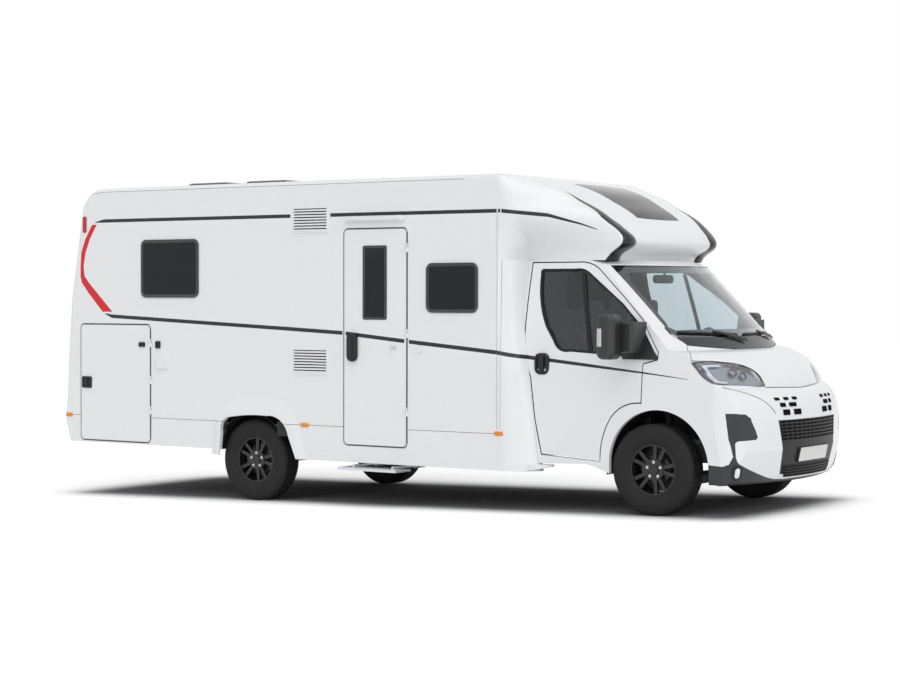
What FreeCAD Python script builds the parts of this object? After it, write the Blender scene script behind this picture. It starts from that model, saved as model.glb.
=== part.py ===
import FreeCAD, Part
import os
from math import sqrt

os.makedirs("parts", exist_ok=True)
V = FreeCAD.Vector

# Driving sizes, millimetres. X runs forward from the front axle, Y to the left, and Z up.
# The body is drawn level in its own frame and then leans nose down by RAKE about the rear axle.
WHEELBASE = 4035.0
FRONT_OVERHANG = 948.0
REAR_OVERHANG = 2427.0
BODY_WIDTH = 2330.0
RAKE = 1.386
ROOF_Z = 2872.0
FLOOR_Z = 700.0
SKIRT_TOP_Z = 712.0
SKIRT_REAR_Z = 455.0
SKIRT_FRONT_Z = 405.0
WALL = 34.0
FLOOR_THICK = 55.0
CAB_FLOOR_THICK = 50.0
DASH_LOW_Z = 1150.0
EDGE_RADIUS = 45.0
EAVES_DROP = 47.0
REAR_BOW = 120.0
CORNER_SEAM_X = -1371.0
CAB_REAR_X = -1236.0
SKIRT_THICK = 24.0
DOOR_GAP = 6.0
DOOR_THICK = 34.0
CAB_GAP = 10.0

# Running gear
TYRE_RADIUS = 368.0
TYRE_WIDTH = 223.0
HUB_Z = TYRE_RADIUS
FRONT_TRACK = 1810.0
REAR_TRACK = 1980.0
RIM_RADIUS = 203.0
RIM_WIDTH = 165.0
BALL_Y = 850.0
BALL_DROP = 113.0
KINGPIN_LEAN = 16.9
SPINDLE_RADIUS = 28.0
RUNNING_GAP = 1.0
SEAT_GAP = 0.3

# Cab
CAB_WALL = 42.0
NOSE_PLAN_RADIUS = 2438.0
BELT_Z = 1240.0
CAB_HALF_WIDTH = 1024.0
CAB_TOP_Z = 2150.0
CAB_TOP_HALF = 865.0
GLASS = 6.0

# The origin of the finished part is under the middle of its length
FRONT_AXLE_X = (FRONT_OVERHANG + REAR_OVERHANG + WHEELBASE) / 2 - FRONT_OVERHANG
REAR_X = -WHEELBASE - REAR_OVERHANG
HALF = BODY_WIDTH / 2


def bend(points):
    """Turn outline points into edges: (a, b) is a line to it, (a, b, c, d) an arc through a, b to c, d."""
    edges = []
    start = points[0]
    for item in list(points[1:]) + [points[0]]:
        end = item[-2:]
        a = V(start[-2], start[-1], 0)
        b = V(end[0], end[1], 0)
        if len(item) == 4:
            edges.append(Part.Arc(a, V(item[0], item[1], 0), b).toShape())
        elif (b - a).Length > 0.01:
            edges.append(Part.makeLine(a, b))
        start = end
    return Part.Face(Part.Wire(edges))


def prism_z(points, z0, z1):
    face = bend(points)
    face.translate(V(0, 0, z0))
    return face.extrude(V(0, 0, z1 - z0))


def prism_y(points, y0, y1):
    """Extrude an (x, z) outline along Y."""
    face = bend(points)
    face.rotate(V(0, 0, 0), V(1, 0, 0), 90)
    face.translate(V(0, y0, 0))
    return face.extrude(V(0, y1 - y0, 0))


def prism_x(points, x0, x1):
    """Extrude a (y, z) outline along X."""
    face = bend(points)
    face.rotate(V(0, 0, 0), V(1, 1, 1), 120)
    face.translate(V(x0, 0, 0))
    return face.extrude(V(x1 - x0, 0, 0))


def box(x0, x1, y0, y1, z0, z1):
    return Part.makeBox(x1 - x0, y1 - y0, z1 - z0, V(x0, y0, z0))


def tube_y(x, z, r, y0, y1):
    return Part.makeCylinder(r, y1 - y0, V(x, y0, z), V(0, 1, 0))


def tube_z(x, y, r, z0, z1):
    return Part.makeCylinder(r, z1 - z0, V(x, y, z0), V(0, 0, 1))


def rounded(a0, a1, b0, b1, r):
    """Outline of a rectangle with round corners."""
    k = r * (1 - sqrt(0.5))
    return [(a0 + r, b0), (a1 - r, b0), (a1 - k, b0 + k, a1, b0 + r), (a1, b1 - r),
            (a1 - k, b1 - k, a1 - r, b1), (a0 + r, b1), (a0 + k, b1 - k, a0, b1 - r),
            (a0, b0 + r), (a0 + k, b0 + k, a0 + r, b0)]


def flip(shape):
    return shape.mirror(V(0, 0, 0), V(0, 1, 0))


def both(shape):
    return Part.makeCompound([shape, flip(shape)])


def fuse(*shapes):
    joined = shapes[0].fuse(list(shapes[1:]))
    return joined.removeSplitter()


def save(node, shape):
    shape.translate(V(FRONT_AXLE_X, 0, 0))
    shape.exportStep(f"parts/{node}.step")
    count = len(shape.Solids)
    print(f"{node}: {count} solid(s), {shape.Volume / 1e6:.2f} dm3, valid {shape.isValid()}")


def save_body(node, shape):
    """Lean a piece that belongs to the body with it, about the rear axle, and write it."""
    leaned = shape.copy()
    leaned.rotate(V(-WHEELBASE, 0, HUB_Z), V(0, 1, 0), RAKE)
    save(node, leaned)


# The living box
REAR_FACE_X = REAR_X + REAR_BOW
REAR_PROFILE = [(60, SKIRT_REAR_Z), (0, 653), (82, ROOF_Z - 1050), (215, ROOF_Z - 262)]
REAR_CORNER_RUN = 470.0
BOW_RADIUS = (HALF * HALF + REAR_BOW * REAR_BOW) / (2 * REAR_BOW)
BOW_X = REAR_X + BOW_RADIUS


def house_block(inset):
    """The living box as one closed block with a bowed rear, moved in by inset on every outer face."""
    top = ROOF_Z - inset
    half = HALF - inset
    rear = [(REAR_X + x + inset, z) for x, z in REAR_PROFILE]
    low = SKIRT_FRONT_Z - 50
    last = rear[-1]
    arc = (last[0] + 85, top - 78, REAR_X + REAR_CORNER_RUN, top)
    face = bend([(BOW_X, low), (rear[0][0], low)] + rear + [arc, (BOW_X, top)])
    face.rotate(V(0, 0, 0), V(1, 0, 0), 90)
    turned = face.revolve(V(BOW_X, 0, 0), V(0, 0, 1), 360)
    block = turned.common(box(REAR_X - 10, CORNER_SEAM_X, -half, half, low - 10, top + 10))
    wanted = []
    for edge in block.Edges:
        points = [edge.valueAt(edge.FirstParameter + t * (edge.LastParameter - edge.FirstParameter)) for t in (0, 0.5, 1)]
        on_side = all(abs(abs(p.y) - half) < 0.1 for p in points)
        low_edge = all(p.z < low + 1 for p in points)
        front_edge = all(p.x > CORNER_SEAM_X - 1 for p in points)
        if on_side and not low_edge and not front_edge:
            wanted.append(edge)
    return block.makeFillet(EDGE_RADIUS - inset, wanted)


OUTER = house_block(0)
INNER = house_block(WALL)
SHELL = OUTER.cut(INNER)
EAVES_Z = ROOF_Z - EAVES_DROP
REAR_SEAM = 46.0
FRONT_CORNER_RUN = 330.0
FRONT_CORNER_DROP = 275.0

# Openings in the side walls, as x0, x1, z0, z1: those near the rear keep their place from the rear axle
REAR_AXLE_X = -WHEELBASE
ENTRANCE = (CORNER_SEAM_X - 1593, CORNER_SEAM_X - 916, 555, 2437)
ENTRANCE_GLASS = (ENTRANCE[0] + 208, ENTRANCE[1] - 211, 1648, 2290)
GARAGE = (REAR_AXLE_X - 2090, REAR_AXLE_X - 1193, 475, 1584)
REAR_WINDOW = (REAR_AXLE_X - 1307, REAR_AXLE_X - 597, 1835, 2376)
FRONT_WINDOW = (CORNER_SEAM_X - 716, CORNER_SEAM_X - 190, 1712, 2134)
VENTS = [(ENTRANCE[0] - 573, ENTRANCE[0] - 172, 2410, 2638), (ENTRANCE[0] - 573, ENTRANCE[0] - 172, 1160, 1389)]
WINDOW_RADIUS = 62.0
DOOR_RADIUS = 45.0


def grown(rect, by):
    return (rect[0] - by, rect[1] + by, rect[2] - by, rect[3] + by)


def plate(rect, radius, y0, y1):
    return prism_y(rounded(rect[0], rect[1], rect[2], rect[3], radius), y0, y1)


def rear_zone(y0, y1):
    """The space behind the seam where side walls end and the rear moulding starts."""
    line = [(REAR_FACE_X + x + REAR_SEAM, z) for x, z in REAR_PROFILE]
    low = [(REAR_X - 100, SKIRT_FRONT_Z - 100), (line[0][0], SKIRT_FRONT_Z - 100)]
    end = (REAR_FACE_X + REAR_CORNER_RUN, EAVES_Z)
    arc = (line[-1][0] + 75, EAVES_Z - 75) + end
    return prism_y(low + line + [arc, (end[0], EAVES_Z + 300), (REAR_X - 100, EAVES_Z + 300)], y0, y1)


def front_zone():
    """The rounded top front corner, which belongs to the hood."""
    x = CORNER_SEAM_X
    a = FRONT_CORNER_RUN
    b = FRONT_CORNER_DROP
    arc = (x - a * 0.29, EAVES_Z - b * 0.29, x, EAVES_Z - b)
    return prism_y([(x - a, EAVES_Z + 200), (x - a, EAVES_Z), arc, (x, EAVES_Z + 200)], -HALF - 5, HALF + 5)


def side_wall(side):
    """A sandwich side panel; side is -1 on the right, with the entrance, and 1 on the left."""
    zone = box(REAR_X - 50, CORNER_SEAM_X, HALF - WALL - 1, HALF + 1, SKIRT_TOP_Z, EAVES_Z)
    if side < 0:
        zone = flip(zone)
    wall = SHELL.common(zone).cut([rear_zone(-HALF - 5, HALF + 5), front_zone()])
    reach = (side * (HALF + 40), side * (HALF - WALL - 40))
    y0, y1 = min(reach), max(reach)
    holes = [plate(grown(REAR_WINDOW, -20), WINDOW_RADIUS - 20, y0, y1),
             plate(grown(FRONT_WINDOW, -20), WINDOW_RADIUS - 20, y0, y1),
             plate(grown(GARAGE, DOOR_GAP), DOOR_RADIUS, y0, y1),
             prism_y(ARCH, y0, y1)]
    if side < 0:
        holes.append(plate(grown(ENTRANCE, DOOR_GAP), DOOR_RADIUS, y0, y1))
        extras = [louvre(rect) for rect in VENTS] + [gutter(), socket_box()]
        extras += hinges(ENTRANCE, False) + hinges(GARAGE, False)
    else:
        extras = [flip(piece) for piece in hinges(GARAGE, False)]
    return fuse(wall.cut(holes), arch_flare(side, SKIRT_TOP_Z, 1000), *extras)


def louvre(rect):
    """A framed vent with sloping slats, standing a little proud of the right wall."""
    y = -HALF
    frame = plate(rect, 8, y - 9, y)
    frame = frame.cut(box(rect[0] + 14, rect[1] - 14, y - 10, y - 3, rect[2] + 14, rect[3] - 14))
    count = 8
    pitch = (rect[3] - rect[2] - 28) / count
    slats = []
    for i in range(count):
        z = rect[2] + 14 + i * pitch
        slats.append(prism_x([(y - 3, z + 3), (y - 9, z + 3), (y - 3, z + pitch - 5)], rect[0] + 14, rect[1] - 14))
    return frame.fuse(slats)


def gutter():
    x0, x1 = -2939, -2322
    y = -HALF
    return box(x0, x1, y - 16, y, 2500, 2512).fuse(box(x0, x1, y - 16, y - 11, 2512, 2520))


HINGE_OUT = 12.0
HINGE_RADIUS = 7.0
HINGE_LENGTH = 38.0


def hinge_line(rect):
    """Middle of the gap at a house door's front edge, where its hinges stand."""
    return rect[1] + DOOR_GAP / 2


def hinges(rect, on_door):
    """Hinge barrels of a house door on the right wall: the door's half stands on the wall's half."""
    x = hinge_line(rect)
    pieces = []
    for z in (rect[2] + 270, (rect[2] + rect[3]) / 2, rect[3] - 210):
        z0 = z + HINGE_LENGTH + SEAT_GAP if on_door else z
        barrel = tube_z(x, -HALF - HINGE_OUT, HINGE_RADIUS, z0, z0 + HINGE_LENGTH)
        if on_door:
            arm = box(x - 26, x - 1, -HALF - HINGE_OUT + 1, -HALF - 4, z0, z0 + HINGE_LENGTH)
            pieces.append(barrel.fuse(arm))
        else:
            arm = box(x, x + 24, -HALF - HINGE_OUT - 2, -HALF, z0, z0 + HINGE_LENGTH)
            pieces.append(barrel.fuse(arm))
    return pieces


def socket_box():
    return plate((-5142, -5015, 1168, 1318), 14, -HALF - 13, -HALF)


def floor_panel():
    """The living box's board with its garage tub and step well, and the cab's floor joined to it."""
    slab = box(REAR_AXLE_X - 1200, CORNER_SEAM_X, -HALF + WALL, HALF - WALL, FLOOR_Z - FLOOR_THICK, FLOOR_Z)
    slab = slab.fuse(box(CORNER_SEAM_X - 10, CAB_REAR_X, -920, 920, FLOOR_Z - FLOOR_THICK, FLOOR_Z))
    garage = INNER.common(box(REAR_X, REAR_AXLE_X - 1160, -HALF, HALF, SKIRT_REAR_Z, SKIRT_REAR_Z + 40))
    riser = box(REAR_AXLE_X - 1200, REAR_AXLE_X - 1160, -HALF + WALL, HALF - WALL, SKIRT_REAR_Z, FLOOR_Z)
    wells = [wheel_well(side) for side in (-1, 1)]
    x0, x1 = ENTRANCE[0] - 10, ENTRANCE[1] + 10
    well = box(x0, x1, -HALF, -HALF + STEP_WELL_DEPTH, STEP_WELL_Z, FLOOR_Z + 10)
    tray = box(x0 - 30, x1 + 30, -HALF + WALL, -HALF + STEP_WELL_DEPTH + 30, STEP_WELL_Z - 30, FLOOR_Z)
    return fuse(slab, garage, riser, tray, *cab_floor()).cut(wells + [well])


def cab_floor():
    """Pieces of the cab's floor, which narrows between the wheel arches and ends in the firewall."""
    half = CAB_HALF_WIDTH - 100
    under = FLOOR_Z - CAB_FLOOR_THICK
    wide = box(CAB_REAR_X, -470, -half, half, under, FLOOR_Z)
    narrow = box(-480, -100, -540, 540, under, FLOOR_Z)
    firewall = box(-130, -100, -540, 540, under, DASH_LOW_Z - 1)
    return [wide, narrow, firewall]


def wheel_well(side):
    y0 = side * (REAR_TRACK / 2 - TYRE_WIDTH / 2 - 40)
    y1 = side * (HALF + 60)
    return tube_y(-WHEELBASE, HUB_Z, TYRE_RADIUS + 60, min(y0, y1), max(y0, y1))


# Lower panels
ARCH_POINTS = [(-352, 300), (-346, 419), (-326, 608), (-300, 715, -200, 757), (0, 778, 218, 778), (400, 715, 457, 610),
               (529, 442), (590, 300)]
FLARE_POINTS = [(-450, 300), (-446, 419), (-426, 608), (-395, 790, -231, 892), (20, 950, 255, 950), (480, 862, 570, 700),
                (655, 442), (705, 300)]
LIP_POINTS = [(-385, 300), (-379, 419), (-359, 608), (-340, 745, -210, 795), (0, 815, 226, 815), (432, 742, 494, 620),
              (572, 442), (633, 300)]
FLARE_OUT = 15.0


def from_axle(points):
    """Shift an (x, z) outline that is drawn from the rear axle to its place."""
    return [tuple(v + REAR_AXLE_X if k % 2 == 0 else v for k, v in enumerate(item)) for item in points]


ARCH = from_axle(ARCH_POINTS)
SKIRT_REAR_X = REAR_FACE_X + 110


def skirt(side):
    """The panel below a side wall, with the rear wheel's arch and a run-out under the cab."""
    y1 = HALF
    y0 = HALF - SKIRT_THICK
    outline = [(SKIRT_REAR_X, SKIRT_REAR_Z), (REAR_AXLE_X - 365, SKIRT_REAR_Z), (REAR_AXLE_X + 635, SKIRT_FRONT_Z),
               (CORNER_SEAM_X, SKIRT_FRONT_Z),
               (CORNER_SEAM_X, SKIRT_TOP_Z),
               (SKIRT_REAR_X, SKIRT_TOP_Z)]
    panel = prism_y(outline, y0, y1).cut(prism_y(ARCH, y0 - 10, y1 + 10))
    doors = [plate(grown(GARAGE, DOOR_GAP), DOOR_RADIUS, y0 - 10, y1 + 10)]
    if side < 0:
        doors.append(plate(grown(ENTRANCE, DOOR_GAP), DOOR_RADIUS, y0 - 10, y1 + 10))
    panel = panel.cut(doors)
    panel = flip(panel) if side < 0 else panel
    foot = box(-5000, -3000, -HALF - 50, HALF + 50, 200, SKIRT_FRONT_Z)
    return fuse(panel, arch_flare(side, 200, SKIRT_TOP_Z).cut(foot))


def rear_wall():
    zone = rear_zone(-HALF - 5, HALF + 5).common(box(REAR_X - 100, REAR_X + 900, -HALF, HALF, SKIRT_TOP_Z, EAVES_Z - 75))
    return SHELL.common(zone)


def arch_flare(side, low, high):
    """The part between two heights of the soft bulge round a rear wheel's arch."""
    wires = []
    for points, y in ((FLARE_POINTS, HALF - 2), (LIP_POINTS, HALF + FLARE_OUT)):
        face = bend(from_axle(points))
        face.rotate(V(0, 0, 0), V(1, 0, 0), 90)
        face.translate(V(0, y, 0))
        wires.append(face.OuterWire)
    bulge = Part.makeLoft(wires, True, True).cut(prism_y(ARCH, HALF - 50, HALF + 50))
    piece = bulge.common(box(-5000, -3000, HALF - 1, HALF + 50, low, high))
    return flip(piece) if side < 0 else piece


def rear_apron():
    """The foot of the rear moulding, which joins the two skirts."""
    zone = box(REAR_X - 100, SKIRT_REAR_X, -HALF - 5, HALF + 5, SKIRT_REAR_Z, SKIRT_TOP_Z)
    return SHELL.common(zone)


def roof():
    above = box(REAR_X - 100, CORNER_SEAM_X - FRONT_CORNER_RUN, -HALF - 5, HALF + 5, EAVES_Z, ROOF_Z + 10)
    corner = rear_zone(-HALF - 5, HALF + 5).common(box(REAR_X - 100, REAR_X + 900, -HALF - 5, HALF + 5, EAVES_Z - 75, ROOF_Z))
    panel = fuse(SHELL.common(above), SHELL.common(corner))
    holes = [box(x0 + 40, x1 - 40, y - 160, y + 160, ROOF_Z - 200, ROOF_Z + 50) for x0, x1, y in ROOF_VENTS]
    return panel.cut(holes)


STEP_Z = 392.0
STEP_ARMS = (ENTRANCE[0] + 150, ENTRANCE[1] - 110)
STEP_WELL_Z = 530.0
STEP_WELL_DEPTH = 340.0
ROOF_VENTS = [(REAR_AXLE_X - 1195, REAR_AXLE_X - 695, -420), (REAR_AXLE_X - 485, REAR_AXLE_X + 15, -420), (-2420, -1920, 0)]
VENT_RISE = 55.0


def roof_vent(x0, x1, y):
    """A low tinted dome over a roof hatch."""
    lid = box(x0, x1, y - 230, y + 230, ROOF_Z, ROOF_Z + VENT_RISE)
    top = [e for e in lid.Edges if all(v.Point.z > ROOF_Z + 1 for v in e.Vertexes)]
    lid = lid.makeFillet(VENT_RISE - 8, top)
    return lid.cut(box(x0 + 45, x1 - 45, y - 155, y + 155, ROOF_Z - 1, ROOF_Z + VENT_RISE - 12))


# Cab outer form
NOSE_AXIS_X = FRONT_OVERHANG - NOSE_PLAN_RADIUS
SCREEN_TOP = (-187.0, 2116.0)
SCREEN_BASE = (345.0, 1525.0)
COWL_FRONT = (425.0, 1425.0)
BONNET_EDGE = (803.0, 1127.0)
NOSE_LOW_Z = 372.0


def nose_profile(inset):
    """Centre line of the nose in (x, z), from the underside up to the hood, closed on the nose axis."""
    i = inset
    return [(NOSE_AXIS_X, NOSE_LOW_Z + i), (800 - i, NOSE_LOW_Z + i), (882 - i, 392, 905 - i, 440),
            (FRONT_OVERHANG - i, 640), (942 - i, 870), (929 - i, 950),
            (893 - i, 1052, BONNET_EDGE[0] - i, BONNET_EDGE[1] - i * 0.4),
            (713 - i * 0.8, 1292 - i * 0.7, COWL_FRONT[0] - i * 0.5, COWL_FRONT[1] - i),
            (SCREEN_BASE[0] - i, SCREEN_BASE[1] - i * 0.4), (SCREEN_TOP[0] - i, SCREEN_TOP[1] - i * 0.2),
            (SCREEN_TOP[0] - 110 - i, CAB_TOP_Z - i), (NOSE_AXIS_X, CAB_TOP_Z - i)]


def side_outline(inset):
    """Cross-section of the cab in (y, z): upright below the belt and leaning in above it."""
    h = CAB_HALF_WIDTH - inset
    t = CAB_TOP_HALF - inset
    z0, z1 = 250.0, CAB_TOP_Z + 20
    m = (h + t) / 2 + 22
    return [(-h + 30, z0), (h - 30, z0), (h - 2, 750, h, BELT_Z), (m, 1700, t, z1), (-t, z1), (-m, 1700, -h, BELT_Z),
            (-h + 2, 750, -h + 30, z0)]


def cab_block(inset, rear):
    face = bend(nose_profile(inset))
    face.rotate(V(0, 0, 0), V(1, 0, 0), 90)
    turned = face.revolve(V(NOSE_AXIS_X, 0, 0), V(0, 0, 1), 360)
    section = prism_x(side_outline(inset), rear, FRONT_OVERHANG + 50)
    h = CAB_HALF_WIDTH - inset + 2
    r = 330.0
    front = FRONT_OVERHANG + 30
    k = r * (1 - sqrt(0.5))
    plan = prism_z([(rear, -h), (front - r - 130, -h), (front - 130 - k, -h + k, front - 130, -h + r),
                    (front, -h + r + 150), (front, h - r - 150), (front - 130, h - r),
                    (front - 130 - k, h - k, front - r - 130, h), (rear, h)], 200, CAB_TOP_Z + 100)
    return turned.common(section).common(plan)


CAB_OUTER = cab_block(0, CAB_REAR_X)
CAB_INNER = cab_block(CAB_WALL, CAB_REAR_X - 50)
CAB_SHELL = CAB_OUTER.cut(CAB_INNER)

BUMPER_REAR_X = 470.0

# Outlines seen from the side, in (x, z)
CAB_DOOR = [(-1035, 544), (-470, 512), (-440, 715, -370, 865), (-250, 965, -87, 992), (-75, 1310), (55, 1345), (60, 1405),
            (-104, 1672), (-296, 1857), (-518, 2052), (-620, 2120, -760, 2140), (-1206, 2140), (-1214, 1653),
            (-1194, 1400, -1135, 1177), (-1093, 833)]
CAB_WINDOW = [(-926, 1479), (-870, 1415, -766, 1400), (-100, 1362), (20, 1362), (24, 1405), (-104, 1610), (-296, 1795),
              (-640, 2050), (-700, 2078, -780, 2082), (-1080, 2082), (-1105, 2076, -1110, 2040), (-1070, 1750, -1010, 1600)]
CAB_SILL = [(-1300, 200), (-1300, 470), (-1006, 474), (-600, 486), (-490, 455, -380, 414), (-373, 414),
            (BUMPER_REAR_X - 20, 414), (BUMPER_REAR_X - 20, 200)]
FRONT_ARCH_X = 55.0
FRONT_ARCH_Z = 500.0
FRONT_ARCH_R = 448.0
BONNET_FRONT = [(-1100, 1600), (-1100, 1342), (-1007, 1342), (-880, 1335), (-620, 1290), (-500, 1150), (-500, 1127),
                (0, 1112), (500, 1127), (500, 1150), (620, 1290), (880, 1335), (1007, 1342), (1100, 1342), (1100, 1600)]
LAMP_SIDE = [(345, 1330), (430, 1340, 515, 1329), (640, 1280, 724, 1175), (757, 1135), (720, 1136), (674, 1148, 594, 1155),
             (480, 1200, 405, 1268)]
LAMP_INNER_Y = 498.0


def grow_prism(points, gap, y0, y1):
    face = bend(points)
    face = Part.Face(face.OuterWire.makeOffset2D(gap, 0))
    face.rotate(V(0, 0, 0), V(1, 0, 0), 90)
    face.translate(V(0, y0, 0))
    return face.extrude(V(0, y1 - y0, 0))


def bonnet_zone(gap):
    face = bend(BONNET_FRONT)
    if gap:
        face = Part.Face(face.OuterWire.makeOffset2D(-gap, 2))
    face.rotate(V(0, 0, 0), V(1, 1, 1), 120)
    face.translate(V(170, 0, 0))
    block = face.extrude(V(FRONT_OVERHANG - 150, 0, 0))
    rear, side = 205 + gap, 815.0
    cowl = prism_z([(-900, -1200), (345 + gap, -1200), (345 + gap, -1010), (rear, -side),
                    (COWL_FRONT[0] + gap, 0, rear, side), (345 + gap, 1010), (345 + gap, 1200), (-900, 1200)], 1000, 1800)
    return block.cut(cowl)


def windscreen_zone(grow):
    """The glass opening, seen from the front, as a prism along X."""
    g = grow
    side = [(-875 - g, 1523 - g), (875 + g, 1523 - g), (838 + g, 2108 + g), (-838 - g, 2108 + g)]
    return prism_x(side, -600, 420)


def bumper_zone():
    side = prism_y([(BUMPER_REAR_X, 100), (FRONT_OVERHANG + 50, 100), (FRONT_OVERHANG + 50, 1106), (620, 1160),
                    (560, 1120), (500, 960), (BUMPER_REAR_X, 700)], -1200, 1200)
    return side


def cab_pieces():
    pieces = {}
    leaf_skin = CAB_SHELL.cut([behind_corner(), corner_panel(-1), corner_panel(1)])
    shell = leaf_skin.cut(prism_y(CAB_SILL, -1300, 1300))
    arch = tube_y(FRONT_ARCH_X, FRONT_ARCH_Z, FRONT_ARCH_R, -1300, 1300)
    arch_floor = box(FRONT_ARCH_X - FRONT_ARCH_R, FRONT_ARCH_X + FRONT_ARCH_R, -1300, 1300, 100, FRONT_ARCH_Z)
    for side, name in ((-1, "right"), (1, "left")):
        y0, y1 = (-1200, -CAB_TOP_HALF + 130) if side < 0 else (CAB_TOP_HALF - 130, 1200)
        hole = prism_y(CAB_DOOR, y0, y1)
        leaf = leaf_skin.common(grow_prism(CAB_DOOR, -CAB_GAP, y0, y1))
        window = prism_y(CAB_WINDOW, y0, y1)
        pieces[f"cab_door_{name}"] = leaf.cut(window)
        glass = cab_block(14, CAB_REAR_X).cut(cab_block(14 + GLASS, CAB_REAR_X - 50)).common(window)
        pieces[f"cab_window_{name}"] = glass
        shell = shell.cut(hole)
    bonnet = CAB_SHELL.common(bonnet_zone(DOOR_GAP))
    shell = shell.cut(bonnet_zone(0))
    lamps = [prism_y(LAMP_SIDE, -1100, -LAMP_INNER_Y), prism_y(LAMP_SIDE, LAMP_INNER_Y, 1100)]
    headlamps = Part.makeCompound([CAB_SHELL.common(lamp) for lamp in lamps])
    bonnet = bonnet.cut([grow_prism(LAMP_SIDE, DOOR_GAP, -1100, -LAMP_INNER_Y + DOOR_GAP),
                         grow_prism(LAMP_SIDE, DOOR_GAP, LAMP_INNER_Y - DOOR_GAP, 1100)])
    shell = shell.cut(lamps)
    screen = windscreen_zone(0)
    glass = cab_block(4, CAB_REAR_X).cut(cab_block(4 + GLASS, CAB_REAR_X - 50)).common(screen)
    shell = shell.cut(screen)
    bumper = bumper_zone()
    front = CAB_SHELL.common(bumper).cut(lamps + [bonnet_zone(0)])
    shell = shell.cut(bumper)
    shell = shell.cut([arch, arch_floor])
    front = front.cut([arch, arch_floor])
    grille_cut = prism_x([(-540, 872), (-500, 690), (-468, 437), (468, 437), (500, 690), (540, 872)], 600, 1000)
    trim = front.common(grille_cut)
    front = front.cut(grille_cut)
    shell = shell.cut(box(CAB_REAR_X - 5, -520, -720, 720, CAB_TOP_Z - CAB_WALL - 10, CAB_TOP_Z + 10))
    pieces["cab_shell"] = max(shell.Solids, key=lambda solid: solid.Volume)
    pieces["bonnet"] = bonnet
    pieces["headlamps"] = headlamps
    pieces["windscreen"] = glass
    pieces["front_bumper"] = front
    pieces["front_grille"] = trim
    return pieces


# Hood over the cab: plan outlines at rising heights, as the height, the half width at the house, the points
# where the flank leaves the house corner, where the front corner starts and where it ends, and the front's middle
HOOD_STEP = 1.0
HOOD_HALF = HALF - HOOD_STEP
HOOD_TOP_Z = ROOF_Z - HOOD_STEP
HOOD_ROWS = [(CAB_TOP_Z, HOOD_HALF, (-1236, 865), (-530, 850), (-500, 661), -450),
             (2200, HOOD_HALF, (-1222, 892), (-492, 848), (-474, 657), -422),
             (2250, HOOD_HALF, (-1205, 925), (-428, 850), (-386, 658), -333),
             (2300, HOOD_HALF, (-1195, 965), (-386, 852), (-340, 661), -286),
             (2350, HOOD_HALF, (-1192, 1010), (-390, 854), (-362, 672), -308),
             (2400, HOOD_HALF, (-1190, 1055), (-430, 866), (-411, 702), -354),
             (2500, HOOD_HALF, (-1180, 1120), (-556, 900), (-527, 764), -466),
             (2600, HOOD_HALF, (-1190, 1130), (-730, 905), (-677, 796), -606),
             (ROOF_Z - 172, HOOD_HALF, (-1220, 1132), (-930, 935), (-858, 812), -780),
             (ROOF_Z - 110, HOOD_HALF, (-1262, 1136), (-1080, 985), (-1000, 838), -918),
             (ROOF_Z - 48, HOOD_HALF - 4, (-1318, 1144), (-1245, 1060), (-1190, 900), -1120),
             (HOOD_TOP_Z, HOOD_HALF - EDGE_RADIUS, (-1366, 1100), (-1362, 1060), (-1358, 980), -1350)]
HOOD_WALL = 30.0


def hood_outline(row, inset):
    """One plan outline of the hood: across the house, along a flank, round a corner and across the front."""
    z, half, leave, start, end, front = row
    i = inset
    x0 = CORNER_SEAM_X - 2 * i
    a, b, c = ((leave[0] - i * 0.3, leave[1] - i), (start[0] - i * 0.7, start[1] - i), (end[0] - i, end[1] - i * 0.5))
    middle_a = (x0 + (a[0] - x0) * 0.62, a[1] + (half - i - a[1]) * 0.68)
    middle_b = ((a[0] + b[0]) / 2, (a[1] + b[1]) / 2 + 8)
    middle_c = ((b[0] + c[0]) / 2 + (b[1] - c[1]) * 0.16, (b[1] + c[1]) / 2 + (c[0] - b[0]) * 0.16)
    right = [(x0, -half + i), (middle_a[0], -middle_a[1], a[0], -a[1]), (middle_b[0], -middle_b[1], b[0], -b[1]),
             (middle_c[0], -middle_c[1], c[0], -c[1])]
    left = [(front - i, 0) + c, middle_c + b, middle_b + a, middle_a + (x0, half - i)]
    face = bend(right + left)
    low, high = CAB_TOP_Z, HOOD_TOP_Z
    rise = (z - low) / (high - low)
    face.translate(V(0, 0, low + i + rise * (high - low - 2 * i)))
    return face.OuterWire


def hood_block(inset):
    return Part.makeLoft([hood_outline(row, inset) for row in HOOD_ROWS], True, False)


def skylight_zone(gap):
    g = gap
    return prism_z([(-1080 + g, -440 + g), (-492 - g, -372 + g), (-468 - g, 0, -492 - g, 372 - g),
                    (-1080 + g, 440 - g)], 2430, ROOF_Z + 50)


def hood_shell():
    return hood_block(0).cut(hood_block(HOOD_WALL))


def hood():
    """The moulded hood from the house roof down to the screen, with the house's rounded front corner."""
    shell = hood_shell()
    shell = shell.cut(box(CORNER_SEAM_X - 5, -600, -720, 720, CAB_TOP_Z - 10, CAB_TOP_Z + HOOD_WALL + 10))
    return fuse(shell, SHELL.common(front_zone())).cut(skylight_zone(0))


def skylight():
    return hood_shell().common(skylight_zone(SEAT_GAP))


CORNER_ROWS = [(SKIRT_FRONT_Z, -1050, 990), (833, -1104, 1020), (BELT_Z, -1150, CAB_HALF_WIDTH), (1660, -1230, 958),
               (CAB_TOP_Z, -1236, CAB_TOP_HALF)]


TOE_FRONT_X = -930.0
TOE_TOP_Z = 466.0


def behind_corner():
    """The space that the corner panels take, which the cab's skin leaves free."""
    line = [(x, z) for z, x, y in CORNER_ROWS]
    low = [(-1400, 300), (CORNER_ROWS[0][1], 300)]
    return prism_y(low + line + [(-1236, CAB_TOP_Z + 50), (-1400, CAB_TOP_Z + 50)], -1300, 1300)


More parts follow.
